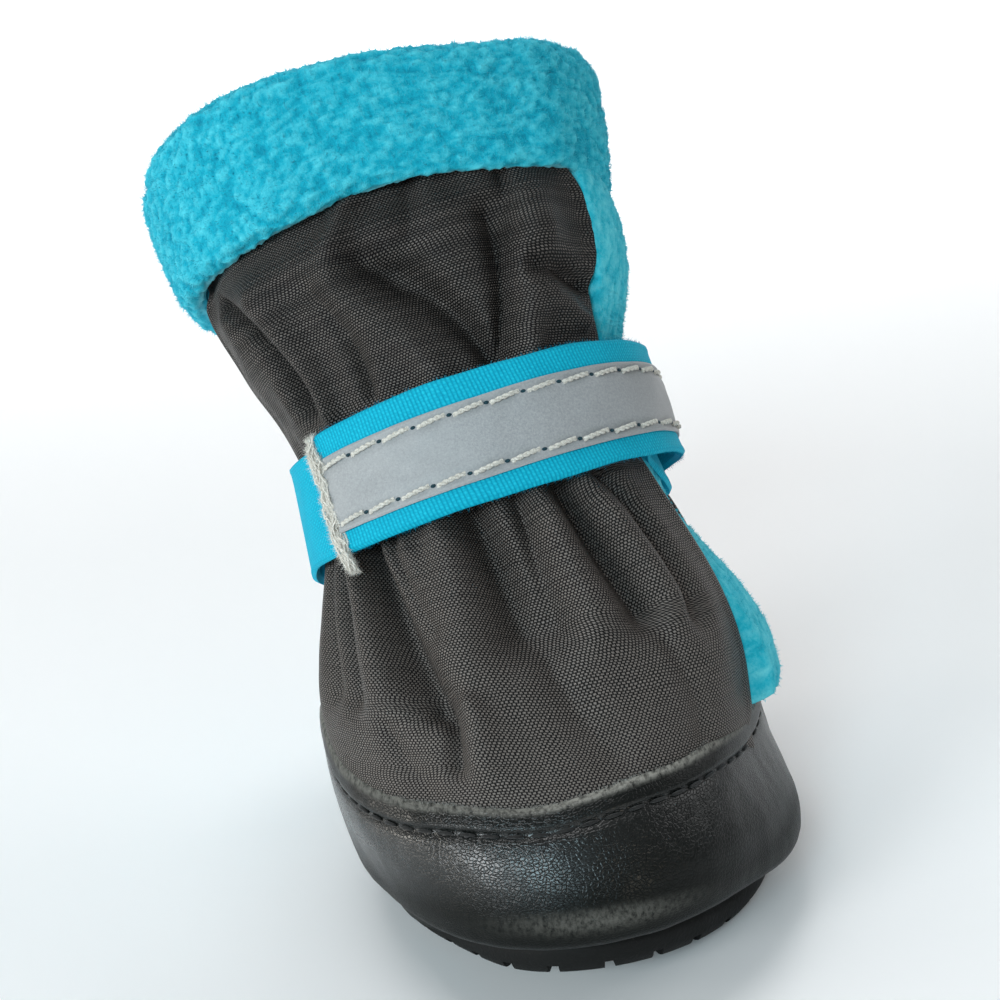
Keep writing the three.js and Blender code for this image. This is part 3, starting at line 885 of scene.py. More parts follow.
fluffy = (shown > 0.5) & (cuff_share > 0.07)
cuff_fuzz, roots = fuzz_piece(
    "cuff_fuzz", cuff, fluffy, count=46000, length=0.7, thickness=0.04, seed=5
)
mark_fibres(cuff_fuzz, cuff_pile[roots])
dress(cuff_fuzz, FLEECE, "fleece")


# Leather rand: toe cap and heel counter. The sewn upper edge climbs at the sides of the toe.
FOLD_LEVEL = TOE_SEAM - FOLD_HEIGHT
TOE_CAP_TURN = 112
CAP_OVERLAP = 2.5  # how far the toe cap slides under the heel counter
SEAM_WAVER = 1.0
RAND_LOW, RAND_HIGH = -2.2, TOE_SEAM + 0.35
RAND_RADIUS = 30
RAND_ARC = 27  # millimetres to a radian, about
# Where the rand is drawn in: degrees of turn, spread, millimetres, levels between which that fades
RAND_TRIMS = ((-50, 28, 2.7, 3, 10), (42, 26, 1.6, 2, 6), (103, 24, 1.8, 4, 11))
BEND_LEVEL = 2.6  # below this it turns in under the shoe
BEND_OUT = 2.9
# How far the sewn edge climbs: degrees of turn, millimetres
SEAM_CLIMB = np.array(
    [(-180, 0.5), (-130, 2.0), (-100, 5.5), (-78, 7.0), (-60, 3.8), (-43, 1.9), (-30, 0.9), (-17, 0.3)]
    + [(-3, 0.1), (9, 0.9), (23, 1.9), (41, 2.9), (60, 2.9), (90, 2.0), (112, 1.0), (180, 0.5)]
)


def rand_seam(turn):
    """How far the sewn upper edge stands above its plain level."""
    waved = sway(on_ring(turn, RAND_RADIUS), 11, 61, SEAM_WAVER)
    return waved + through(*SEAM_CLIMB.T, wrapped(turn))


def above_seam(turn, level):
    return level - TOE_SEAM - rand_seam(turn)


# Upper: the fleece sock, seen inside the collar and in the side gussets
# between the panels. At each of these levels: half the width of either panel and the turn of their
# middles, in degrees.
PANEL_SECTIONS = ("toe_seam", "vamp", "instep", "strap", "ankle", "shaft", "cuff_edge")
PANEL_LEVELS = [LEVEL[name] for name in PANEL_SECTIONS]
FRONT_HALF = (74.5, 76, 75.5, 76, 74, 72, 72)
BACK_HALF = (58, 58, 60, 62, 63, 64, 64)
TWIST = (-5.5, -8, -12, -10, -12, -13, -13)


def panel_angle(column, level):
    kept = np.clip(level, PANEL_LEVELS[0], PANEL_LEVELS[-1])
    return np.radians(through(PANEL_LEVELS, column, kept))


def under_panels(turn, level):
    """1 where a woven panel covers the sock, 0 in the gussets."""
    twist = panel_angle(TWIST, level)
    away = np.abs(np.mod(turn - twist + math.pi, 2 * math.pi) - math.pi)
    front = panel_angle(FRONT_HALF, level)
    back = math.pi - panel_angle(BACK_HALF, level)
    edge = math.radians(5)
    covered = np.maximum(1 - ease(away, front - edge, front), ease(away, back, back + edge))
    return np.maximum(covered, 1 - ease(level, TOE_SEAM - 1, TOE_SEAM + 1))


# How far the gussets stand out: level, millimetres. The left one stands out less.
GUSSET_PUFF = np.array(
    [(0, 0.0), (12, 0.8), (15.5, 3.8), (18, 4.0), (21, 3.3), (25, 1.9), (30, 0.3), (36, -1.2)]
    + [(43, -1.4), (50, 0.2), (58, 1.5), (70, 1.6), (80, 0.8), (90, 0.3)]
)
LEFT_PUFF = 0.25  # as a share of the right one
STRAP_SWELL = 3.8  # fleece pressed out against the strap
LEFT_SWELL = 0.45  # likewise
TUCKED_FLEECE = -1.6  # under the panels


def sock_level(share):
    """The level at a share of the way up the outside, to 0.5, and down the inside, to 1."""
    return blend(0.4, COLLAR_EDGE - 0.4, np.where(share < 0.5, share * 2, 2 - share * 2))


def upper_place(turn, share):
    level = sock_level(share)
    right = np.sin(turn) > 0
    gusset = np.interp(level, *GUSSET_PUFF.T) * np.where(right, 1.0, LEFT_PUFF)
    gusset = gusset * ease(above_seam(turn, level), 0.2, 2.2)
    swell = STRAP_SWELL * bell(level - STRAP_LINE, 6.0)
    gusset = gusset + swell * np.where(right, 1.0, LEFT_SWELL)
    outside = blend(gusset, TUCKED_FLEECE, under_panels(turn, level))
    return skin_point(turn, level, np.where(share < 0.5, outside, -FLEECE_WALL))


upper, upper_turn, upper_share = ring_piece(
    "upper_fleece", around=270, section=330, place=upper_place
)
upper_level = sock_level(upper_share)
outside = upper_share < 0.5
gusset = np.where(outside, 1 - under_panels(upper_turn, upper_level), 1)
clear = ease(above_seam(upper_turn, upper_level), 0, 1.5)
upper_pile = raise_pile(upper, 0.75, gusset * np.where(outside, clear, 1))
smooth(upper)
dress(upper, LINING, "fleece", "upper")

fluffy = (gusset > 0.9) & outside & (clear > 0.5)
gusset_fuzz, roots = fuzz_piece(
    "gusset_fuzz", upper, fluffy, count=18000, length=0.5, thickness=0.045, seed=6
)
mark_fibres(gusset_fuzz, upper_pile[roots])
dress(gusset_fuzz, LINING, "fleece")


# Woven panels. A crease is a soft trough, or a ridge for a minus depth, through three points.
# turn, level, turn, level, turn, level, width, depth
FRONT_CREASES = (
    (-37, 39.5, -30, 32, -19, 23, 1.5, 4.0),
    (-25, 37, -18, 29, -10, 21, 2.8, -1.6),
    (-3, 40.5, -1, 34, 1, 28, 1.7, 3.8),
    (22, 41, 24.5, 34.5, 30, 28, 1.5, 3.2),
    (37, 41, 43, 34, 46, 27, 1.4, 1.9),
    (9, 40, 8, 34, 9, 28, 1.1, 1.4),
    (-50, 39, -49, 31, -46, 24, 1.5, 2.3),
    (-61, 39, -60, 31, -57, 24, 1.5, 1.8),
    (-27, 39.5, -23, 34, -17, 29, 1.1, 1.5),
    (-13, 40, -10, 34, -7, 27, 2.2, -1.8),
    (15, 40, 16, 34, 18, 28, 2.0, -1.8),
    (-43, 38, -38, 31, -33, 24, 1.8, -1.6),
    (30, 40, 33, 34, 38, 28, 1.8, -1.4),
    (-20, 22, -16.5, 20.5, -17, 17.5, 0.9, 2.2),
    (-11, 22, -10, 20, -12, 17.5, 1.3, -1.3),
    (5, 25, 8, 21, 14, 17, 1.5, 0.8),
    (33, 25, 37, 21, 40, 17, 1.5, 0.8),
    (-34, 21, -31, 18, -27, 15.5, 1.4, 0.8),
    (17, 53, 8, 60, -10, 69, 1.6, 3.4),
    (18, 53.5, 21.5, 61, 22, 70, 1.2, 2.0),
    (28, 54, 30, 60, 34, 67, 2.2, -1.9),
    (0, 54, -6, 60, -18, 67, 2.4, -1.8),
    (-5, 76, -12.5, 72.5, -14, 69, 1.4, -1.4),
    (55, 61.3, 46, 62.3, 32, 63.8, 1.1, 2.6),
    (52, 57.5, 45, 58.5, 38, 60, 1.5, -1.4),
    (-60, 73, -47, 66.5, -47, 57, 1.3, 2.6),
    (-38, 55, -37, 62, -41, 70, 1.8, -1.6),
    (-21, 55, -20, 62, -24, 68, 1.3, 1.2),
    (6, 77, 3, 71, -3, 66, 1.5, 1.1),
    (30, 74, 27, 70, 23, 66, 1.4, 1.2),
)
BACK_CREASES = (
    (165, 41, 166, 33, 168, 25, 2.0, 1.1),
    (178, 41, 178, 33, 176, 26, 2.6, -0.8),
    (192, 41, 192, 32, 190, 24, 2.0, 1.2),
    (150, 40, 152, 33, 155, 26, 2.4, -0.7),
    (206, 40, 204, 32, 201, 25, 2.4, -0.7),
    (172, 53, 170, 60, 166, 68, 2.0, 1.2),
    (186, 53, 188, 60, 192, 68, 2.4, -0.8),
    (198, 53, 200, 60, 205, 67, 1.9, 1.1),
)
CREASE_RADIUS = 24
CREASE_STEPS = 8
CREASE_SPREAD = (0.75, 1.5)  # width at its first and its last point, as shares
CREASE_SHARP = 0.35  # share of a trough that is a sharp line
CREASE_GAIN = 1.2


def creases(turn, level, table):
    """How far the cloth stands out of its smooth shape, in millimetres."""
    relief = np.zeros_like(turn)
    across = turn * CREASE_RADIUS
    t = np.linspace(0, 1, CREASE_STEPS + 1)
    first, second, third = (1 - t) * (1 - 2 * t), 4 * t * (1 - t), t * (2 * t - 1)
    for a, low, b, middle, c, high, width, depth in table:
        path_turn = np.radians(first * a + second * b + third * c)
        path_level = first * low + second * middle + third * high
        nearest = np.full(turn.shape, 99.0)
        for i in range(CREASE_STEPS):
            start = np.array([path_turn[i] * CREASE_RADIUS, path_level[i]])
            step = np.array([path_turn[i + 1] * CREASE_RADIUS, path_level[i + 1]]) - start
            run = ((across - start[0]) * step[0] + (level - start[1]) * step[1]) / (step @ step)
            run = np.clip(run, 0, 1)
            away = np.hypot(across - start[0] - run * step[0], level - start[1] - run * step[1])
            reach = width * blend(*CREASE_SPREAD, (i + run) / CREASE_STEPS)
            nearest = np.minimum(nearest, away / reach)
        sharp = CREASE_SHARP if depth > 0 else 0.0
        fall = (1 - sharp) * np.exp(-(nearest**2)) + sharp * np.exp(-1.8 * nearest)
        relief -= CREASE_GAIN * depth * fall
    return relief


# Waves of the front panel's two sides: level, degrees on the left, degrees on the right
SIDE_WAVES = np.array(
    [(12.7, 0, 0), (22, 1.5, -1.0), (30, -1, 1.0), (38, 1, -0.5), (46, 0, 0), (56, -1, 1.0)]
    + [(60.5, 1.5, -3.0), (65, 0, 2.0), (71, -1.5, 1.5), (76.1, 0, 0)]
)
PANEL_LOW = TOE_SEAM - 2.5
PANEL_HIGH = CUFF_EDGE + 1.6
PUFF = 1.5
HEM_RIDGE, HEM_DROP = 0.25, 0.9
CUFF_TUCK, SEAM_TUCK = 0.75, 0.6  # how far the cloth goes in under the cuff and the leather
DEEPEST = -1.0  # creases level off here
# The front panel's round top corners, in shares of its height and in degrees
CORNER_START, CORNER_HEIGHT, CORNER_TURN = 0.9, 0.1, math.radians(15)


def panel_out(turn, level, side, table):
    """How far the cloth stands out; side is -1 to 1 across the panel. The sides have a turned hem."""
    edge = 1 - np.abs(side)
    seam = above_seam(turn, level)
    hem = HEM_RIDGE * bell(edge - 0.045, 0.03) - HEM_DROP * (1 - ease(edge, 0, 0.025))
    strapped = bell(level - STRAP_LINE, 8.5)
    puff = PUFF * (1 - strapped) * ease(level, TOE_SEAM, TOE_SEAM + 12) * ease(edge, 0, 0.35)
    puff = puff * (1 - ease(level, CUFF_EDGE - 5, CUFF_EDGE - 1))
    tucked = CUFF_TUCK * ease(level, CUFF_EDGE - 0.8, CUFF_EDGE + 0.6)
    relief = creases(turn, level, table) * ease(edge, 0, 0.06)
    relief = relief * (1 - 0.75 * bell(level - STRAP_LINE, 6.5))
    drawn = on_sheet(turn * CREASE_RADIUS, level) * (1, 0.6, 1)
    limp = sway(drawn, 7, 51, 1.1) + sway(drawn, 3.2, 52, 0.5)
    limp = limp * ease(edge, 0, 0.1) * ease(seam, 0, 4)
    out = GAP + OXFORD + puff + relief * ease(seam, -1, 2) + hem + limp - tucked
    out = out - SEAM_TUCK * (1 - ease(seam, -1, 1))
    return DEEPEST + np.logaddexp(0, 4 * (out - DEEPEST)) / 4


def front_panel_place(u, v):
    level = blend(PANEL_LOW, PANEL_HIGH, v)
    share = (level - TOE_SEAM) / (CUFF_EDGE - TOE_SEAM)
    into = np.clip((share - CORNER_START) / CORNER_HEIGHT, 0, 1)
    half = panel_angle(FRONT_HALF, level) - CORNER_TURN * (1 - np.sqrt(1 - into**2 * 0.999))
    side = blend(-1, 1, u)
    waves = [np.radians(through(SIDE_WAVES[:, 0], SIDE_WAVES[:, k], level)) for k in (1, 2)]
    wave = np.where(side < 0, waves[0], waves[1]) * np.abs(side) ** 6
    turn = panel_angle(TWIST, level) + side * half + wave
    return skin_point(turn, level, panel_out(turn, level, side, FRONT_CREASES))


def back_panel_place(u, v):
    level = blend(PANEL_LOW, PANEL_HIGH, v)
    side = blend(-1, 1, u)
    turn = math.pi + panel_angle(TWIST, level) + side * panel_angle(BACK_HALF, level)
    return skin_point(turn, level, panel_out(turn, level, side, BACK_CREASES))


CLOTH_THICKNESS = 0.45
# The two pieces of cloth as cut: width and length in metres, and area in square metres
FRONT_CUT, FRONT_AREA = (0.092, 0.088), 0.006
BACK_CUT, BACK_AREA = (0.061, 0.068), 0.00343
front_panel, front_u, front_v = grid_piece(
    "front_panel_cloth", columns=240, rows=170, place=front_panel_place
)
back_panel, back_u, back_v = grid_piece(
    "back_panel_cloth", columns=180, rows=150, place=back_panel_place
)
for panel, u, v, node, cut, area in (
    (front_panel, front_u, front_v, "front_panel", FRONT_CUT, FRONT_AREA),
    (back_panel, back_u, back_v, "back_panel", BACK_CUT, BACK_AREA),
):
    level = blend(PANEL_LOW, PANEL_HIGH, v)
    side_hem = 1 - ease(np.minimum(u, 1 - u), 0.004, 0.011)
    top_hem = ease(level, CUFF_EDGE - 0.5, CUFF_EDGE)
    mark(panel, "hem", np.maximum(side_hem, top_hem))
    finish_with(panel, "SOLIDIFY", thickness=CLOTH_THICKNESS * MM, offset=-1.0)
    smooth(panel, 60)
    dress(panel, OXFORD_CLOTH, "woven_cloth", node)


# The rand's own creases, in the same columns
RAND_CREASES = (
    (-96, 1, -94, 6, -95, 12, 1.4, 0.6),
    (-104, 1, -103, 6, -103, 12, 1.3, -0.5),
    (90, 1, 92, 5, 92, 10, 1.2, 0.6),
    (97, 1, 99, 5, 99, 10, 1.3, -0.5),
    (104, 1, 105, 5, 105, 10, 1.2, 0.6),
    (160, 1, 162, 5, 163, 9, 1.4, 0.4),
    (196, 1, 198, 5, 197, 9, 1.4, 0.4),
)


RAND_FLARE, RAND_NARROW = 1.4, 1.0  # out at the foot and in at the top, on the right
LIP_OVER = 0.5
GROOVE, FOLD_STEP, ROUND_OFF = 0.2, 0.4, 0.75


def rand_out(turn, level):
    """How far the leather stands out of the last: bent out over the sole, turned in under it, grooved
    along the stitches and folded at the top."""
    degrees = wrapped(turn)
    face = np.clip((TOE_SEAM - level) / (TOE_SEAM - BEND_LEVEL), 0, 1)
    face = face + 0.25 * face**4
    body = GAP + LEATHER + BEND_OUT * face * blend(0.25, 1.0, bell(degrees, 52))
    for middle, spread, trim, low, high in RAND_TRIMS:
        body = body - trim * bell(degrees - middle, spread) * (1 - ease(level, low, high))
    flare = bell(degrees - 66, 18)
    shift = RAND_FLARE * (1 - ease(level, 1.5, 5.5)) - RAND_NARROW * ease(level, 5, 11)
    body = body + flare * shift
    lip = -(body + LIP_OVER) * (1 - ease(level, RAND_LOW - 0.6, BEND_LEVEL + 0.3))
    groove = -GROOVE * bell(level - FOLD_LEVEL + 0.1, 0.5)
    fold = FOLD_STEP * ease(level, FOLD_LEVEL, FOLD_LEVEL + 0.5)
    round_off = -ROUND_OFF * ease(level, TOE_SEAM - 0.4, RAND_HIGH) ** 2
    return body + lip + groove + fold + round_off + creases(turn, level, RAND_CREASES)


def rand_point(turn, level, out):
    """The rand's surface; below the last it hangs straight down over the sole's rim."""
    climb = rand_seam(turn) * ease(level, 3, FOLD_LEVEL)
    points = skin_point(turn, np.maximum(level, 0) + climb, out)
    return points + np.minimum(level, 0)[..., None] * np.array([0, 0, 1])


END_DROP, END_RIDGE = 0.8, 0.3  # where the two pieces of leather end


def rand_place(from_turn, to_turn, under):
    def place(u, v):
        turn = np.radians(blend(from_turn, to_turn, u))
        level = blend(RAND_LOW, RAND_HIGH, v)
        edge = np.minimum(u, 1 - u) * math.radians(abs(to_turn - from_turn)) * RAND_ARC
        out = rand_out(turn, level) - END_DROP * (1 - ease(edge, 0, 0.7))
        out = out + END_RIDGE * bell(edge - 1.4, 1.0)
        beyond = ease(np.abs(np.degrees(turn)), TOE_CAP_TURN - 0.9, TOE_CAP_TURN + 0.5)
        out = out - under * beyond
        ring = on_ring(turn, RAND_RADIUS, level)
        out = out + sway(ring, 5, 62, 0.2) + sway(ring, 1.6, 63, 0.08)
        return rand_point(turn, level, out)

    return place


def rand_piece(name, columns, from_turn, to_turn, node, under=0.0):
    """One piece of leather, rubbed and frayed at its cut edge and with a painted highlight along its
    bend; under is how deep its ends slide in.
    """
    piece, u, v = grid_piece(name, columns, 72, rand_place(from_turn, to_turn, under))
    level = blend(RAND_LOW, RAND_HIGH, v)
    turn = np.radians(blend(from_turn, to_turn, u))
    degrees = np.degrees(turn)
    rubbed = blend(0.6, 1.0, bell(degrees - 18, 24))
    # A painted highlight: a pale line along the bend at the front, kept in the same mark as the rubbed
    # cut edge.
    bend_glint = 0.28 * bell(level - 3.6, 0.4) * bell(degrees - 6, 16)
    folded = ease(level, FOLD_LEVEL - 0.2, FOLD_LEVEL + 0.6)
    polish = blend(0.06, 1.0, ease(level, 3.4, 8.4)) * blend(1.0, 0.55, folded)
    mark(piece, "polish", polish * blend(1.0, 0.65, ease(degrees, 6, 28)))
    cut = ease(level, TOE_SEAM - 0.7, TOE_SEAM + 0.1)
    mark(piece, "rubbed_edge_and_glint", bend_glint + rubbed * cut)
    fray, _ = fuzz_piece(
        name + "_fray", piece, v > 0.999, count=columns * 6, length=0.5, thickness=0.05, seed=12
    )
    dress(fray, GREY_THREAD, "leather")
    finish_with(piece, "SOLIDIFY", thickness=LEATHER_WALL * MM, offset=-1.0)
    smooth(piece, 60)
    dress(piece, BLACK_LEATHER, "leather", node)


CAP_END = TOE_CAP_TURN + CAP_OVERLAP
COUNTER_END = TOE_CAP_TURN + 0.8
rand_piece("toe_cap_leather", 440, -CAP_END, CAP_END, "toe_cap", under=1.0)
rand_piece("heel_counter_leather", 260, COUNTER_END, 360 - COUNTER_END, "heel_counter")


# Stitches. A row is a line on the shoe, line(share, out), and where its first stitch stands.
def spaced(line, pitch, start):
    """Shares along a line at an even pitch in millimetres, the first a share of the pitch in."""
    share = np.linspace(0, 1, 1500)
    points = line(share, 0.0)
    length = np.concatenate([[0], np.cumsum(np.linalg.norm(np.diff(points, axis=0), axis=-1))])
    return np.interp(np.arange(pitch * start, length[-1], pitch), length, share)


def thread_axes(line, share):
    """Axes along the row, across it and out of the surface."""
    step = 0.001
    ahead = unit(line(share + step, 0.0) - line(share - step, 0.0))
    out = unit(line(share, 0.4) - line(share, 0.0))
    side = unit(np.cross(out, ahead))
    return np.stack([ahead, side, np.cross(ahead, side)], -1)


def sew(name, model, rows, pitch, lift, thread, slot):
    """Copies of one stitch along every row, at a pitch and a lift in millimetres."""
    places, axes = [], []
    for line, start in rows:
        shares = spaced(line, pitch, start)
        places.append(line(shares, lift))
        axes.append(thread_axes(line, shares))
    piece = repeat_piece(name, model, np.concatenate(places), np.concatenate(axes))
    smooth(piece)
    dress(piece, thread, slot)


def rand_line(share, out):
    turn = np.radians(blend(-178, 178, share))
    level = np.full_like(turn, FOLD_LEVEL - 0.15)
    return rand_point(turn, level, rand_out(turn, level) + out)


def counter_line(degrees):
    def line(share, out):
        turn = np.full_like(share, math.radians(degrees))
        level = blend(0.8, FOLD_LEVEL - 0.6, share)
        return rand_point(turn, level, rand_out(turn, level) + out)

    return line


COUNTER_ROWS = (115.5, 119.0, -115.5, -119.0)  # degrees of turn
RAND_PITCH, COUNTER_PITCH = 2.7, 2.2
rand_stitch = bead(8, (1.15, 0.21, 0.22))
rand_rows = [(rand_line, 0.5)]
sew("rand_stitches", rand_stitch, rand_rows, RAND_PITCH, 0.1, DARK_THREAD, "leather")
counter_stitch = bead(8, (0.9, 0.24, 0.24))
counter_rows = [(counter_line(degrees), 0.5) for degrees in COUNTER_ROWS]
sew("counter_stitches", counter_stitch, counter_rows, COUNTER_PITCH, 0.12, DARK_THREAD, "leather")


# Strap and tape. sweep is the angle gone round from the strap's start, across the way from its
# middle line. Angles are in degrees.
STRAP_START_TURN = 100
STRAP_SWEEP = 500
STRAP_CLIMB = (338, 357)  # where it rises over its own start
STRAP_DROP = 2.4  # how far its start hangs below the outer run
STRAP_DROP_FADE = 27
STRAP_TILT = 1.6
START_TUCK = 2.2  # how much closer its start lies
TUCK_FADE = (26, 42)
COVERED_END = (165, 195)  # the run that the outer one covers is a little narrower up to here
COVERED_NARROW = 0.14
SEWN_START = (300, 320)
END_SKEW = 4.5
ARC = 0.4  # millimetres to a degree, about
RIB_ARC = 0.38  # and as the ribs are laid out
SELVEDGE_RIDGE, SELVEDGE_DROP = 0.12, 0.5
STRAP_END_DROP = 0.7
LIMP = 0.3
TAPE_SET = -0.4
TAPE_SEAT = 0.45
QUILT_DIP = 0.22
STRAP_SEAT = GAP + OXFORD + GAP + 0.15
STITCH_ROW = TAPE_WIDTH / 2 - 1.2


def strap_point(sweep, across, out):
    """A point of the strap. Webbing is stiff across, so it bridges the shoe's waist straight."""
    turn = np.radians(STRAP_START_TURN - sweep)
    half = STRAP_WIDTH / 2
    middle = STRAP_LINE + STRAP_TILT * np.sin(turn)
    chord = last_point(turn, middle + half) - last_point(turn, middle - half)
    reach = half * STRAP_WIDTH / np.linalg.norm(chord, axis=-1)
    drop = STRAP_DROP * (1 - ease(sweep, 0, STRAP_DROP_FADE))
    seat = STRAP_SEAT - START_TUCK * (1 - ease(sweep, *TUCK_FADE))
    seat = seat + ease(sweep, *STRAP_CLIMB) * (WEBBING + GAP)
    low, high = (skin_point(turn, middle - drop + side * reach, seat) for side in (-1, 1))
    step = 0.02
    around = last_point(turn + step, middle) - last_point(turn - step, middle)
    away = unit(np.cross(around, high - low))
    share = across / STRAP_WIDTH + 0.5
    return blend(low, high, share[..., None]) + away * np.asarray(out)[..., None]


def quilted(across):
    """The dip that the two rows of stitches pull into the strap."""
    return -QUILT_DIP * bell(np.abs(across - TAPE_SET) - STITCH_ROW, 0.75)


def strap_place(u, v):
    sweep = (STRAP_SWEEP + END_SKEW * v) * (1 - u)
    across = blend(-STRAP_WIDTH / 2, STRAP_WIDTH / 2, v)
    edge = STRAP_WIDTH / 2 - np.abs(across)
    selvedge = SELVEDGE_RIDGE * bell(edge - 0.6, 0.4) - SELVEDGE_DROP * (1 - ease(edge, 0, 0.5))
    end = np.minimum(u, 1 - u) * STRAP_SWEEP * ARC
    ends = -STRAP_END_DROP * (1 - ease(end, 0, 0.8))
    sheet = on_sheet(sweep * ARC, across)
    limp = sway(sheet, 5, 71, LIMP)
    across = across + sway(sheet * (1, 0, 0), 6, 72, 0.5) * ease(np.abs(across), 4, 8)
    covered = ease(sweep, STRAP_DROP_FADE - 8, STRAP_DROP_FADE + 8)
    covered = covered * (1 - ease(sweep, *COVERED_END))
    across = across * (1 - COVERED_NARROW * covered)
    sewn = quilted(across) * ease(sweep, *SEWN_START)
    return strap_point(sweep, across, WEBBING + selvedge + ends + limp + sewn)


strap, strap_u, strap_v = grid_piece("strap_webbing", columns=520, rows=40, place=strap_place)
selvedge = np.minimum(strap_v, 1 - strap_v) < 0.01
seen_edge = selvedge & (strap_u < 0.4)
strap_fuzz, _ = fuzz_piece(
    "strap_fuzz", strap, seen_edge, count=1500, length=0.5, thickness=0.022, seed=8
)
dress(strap_fuzz, RIBBED_WEBBING, "webbing")
unroll(strap, strap_u * STRAP_SWEEP * RIB_ARC, strap_v * STRAP_WIDTH)
finish_with(strap, "SOLIDIFY", thickness=WEBBING_WALL * MM, offset=-1.0)
smooth(strap, 60)
dress(strap, RIBBED_WEBBING, "webbing", "strap")

TAPE_SWEEP = (300, 498)
TAPE_LIP = 0.18


def tape_place(u, v):
    across = blend(-TAPE_WIDTH / 2, TAPE_WIDTH / 2, v) + TAPE_SET
    sweep = blend(TAPE_SWEEP[1] + END_SKEW * (across / STRAP_WIDTH + 0.5), TAPE_SWEEP[0], u)
    edge = TAPE_WIDTH / 2 - np.abs(across - TAPE_SET)
    sheet = on_sheet(sweep * ARC, across)
    limp = sway(sheet, 5, 71, LIMP) + sway(sheet, 2.2, 73, 0.12)
    lip = -TAPE_LIP * (1 - ease(edge, 0, 0.35))
    return strap_point(sweep, across, WEBBING + TAPE_SEAT + quilted(across) + limp + lip)


tape, _, _ = grid_piece("tape_reflective", columns=260, rows=60, place=tape_place)
finish_with(tape, "SOLIDIFY", thickness=TAPE * MM, offset=-1.0)
smooth(tape, 60)
dress(tape, SILVER_TAPE, "reflective", "reflective_tape")

TAPE_STITCH_PITCH = 4.5
TAPE_STITCH_LENGTH = 3.6
TAPE_ROWS = ((-1, 0.45), (1, 0.3))  # side of the tape, where the first stitch stands


def tape_line(side):
    def line(share, out):
        sweep = blend(TAPE_SWEEP[1], TAPE_SWEEP[0], share)
        across = np.full_like(sweep, side * STITCH_ROW + TAPE_SET)
        return strap_point(sweep, across, WEBBING + TAPE_SEAT - QUILT_DIP + out)

    return line


def twisted_stitch():
    """One stitch of two-ply thread, whose ends dip into the needle holes."""
    t = np.linspace(-1, 1, 15)
    arch = 0.36 * (1 - np.abs(t) ** 3.5) - 0.12
    paths = []
    for phase in (0, math.pi):
        twist = t * 2.2 * math.pi + phase
        x = t * TAPE_STITCH_LENGTH / 2
        paths.append(np.stack([x, 0.15 * np.cos(twist) + 0.2 * t, arch + 0.12 * np.sin(twist)], -1))
    return bend_tube("stitch", paths, 0.18)


rows = [(tape_line(side), start) for side, start in TAPE_ROWS]
sew("tape_stitches", twisted_stitch(), rows, TAPE_STITCH_PITCH, 0.05, WHITE_THREAD, "reflective")
rows = [(line, start + 0.5) for line, start in rows]
# Painted shade: each needle hole is a flat dark bead on the tape, standing for the shade inside the
# hole.
needle_hole_shade = bead(10, (0.34, 0.23, 0.08))
sew("tape_needle_holes", needle_hole_shade, rows, TAPE_STITCH_PITCH, 0.13, NEEDLE_HOLE_SHADE, "reflective")


# Frayed cream yarn along the strap's outer end: a loose bundle with fibres standing out of it
FRAY_YARNS = 24
YARN_SPREAD = 2.2  # degrees of sweep
YARN_RADIUS = 0.1


def yarn_path(number):
    t = np.linspace(0, 1, 30)
    rank = number / (FRAY_YARNS - 1)
    spot = on_sheet(t * 9, np.full_like(t, number * 3.7))
    bundle = sway(spot * (1, 0, 0), 2.4, 80, 3.0)
    stray = sway(spot, 1.1, 81, 4.6) + (rank - 0.5) * YARN_SPREAD
    lift = 0.3 * math.sin(number * 2.4) + sway(spot, 0.9, 82, 0.7)
    top = STRAP_WIDTH / 2 - 0.3 - 1.2 * (number % 3)
    across = blend(top, -STRAP_WIDTH / 2 - 0.4 - 0.7 * (number % 4), t)
    end = STRAP_SWEEP + END_SKEW * (across / STRAP_WIDTH + 0.5)
    return strap_point(end - 0.6 + bundle + stray, across, WEBBING + 0.15 + lift)


yarn = bend_tube("strap_fray", [yarn_path(k) for k in range(FRAY_YARNS)], YARN_RADIUS)
smooth(yarn)
dress(yarn, HAIR_THREAD, "webbing")
all_over = np.ones(len(yarn.data.vertices), bool)
yarn_fuzz, _ = fuzz_piece(
    "fray_fuzz", yarn, all_over, count=9000, length=0.75, thickness=0.022, seed=9
)
dress(yarn_fuzz, HAIR_THREAD, "webbing")


# Sole: a plate with a rounded rim and a rib, cut by lugs, chevrons and fine sipes
def sole_outline(turn, out):
    """The last's lowest edge from above, moved outwards."""
    foot = np.zeros_like(turn)
    edge = last_point(turn, foot)
    step = last_point(turn + 0.01, foot) - last_point(turn - 0.01, foot)
    away = unit(np.stack([step[..., 1], -step[..., 0]], -1))
    return edge[..., :2] + away * np.asarray(out)[..., None]


# share of the way from the middle of the tread round to the middle of the top, inner, out, height
SOLE_ROWS = np.array(
    [(0.0, 0.0, -1.4, 0.0), (0.36, 1.0, -1.4, 0.0), (0.42, 1.0, -0.3, 0.35), (0.46, 1.0, 0.45, 1.3)]
    + [(0.49, 1.0, 0.6, 2.2), (0.53, 1.0, 0.6, 3.2), (0.56, 1.0, 0.25, 3.75), (0.59, 1.0, -0.1, 4.2)]
    + [(0.63, 1.0, -0.2, 5.6), (0.66, 1.0, -0.4, 6.0), (1.0, 0.0, -0.4, 6.0)]
)


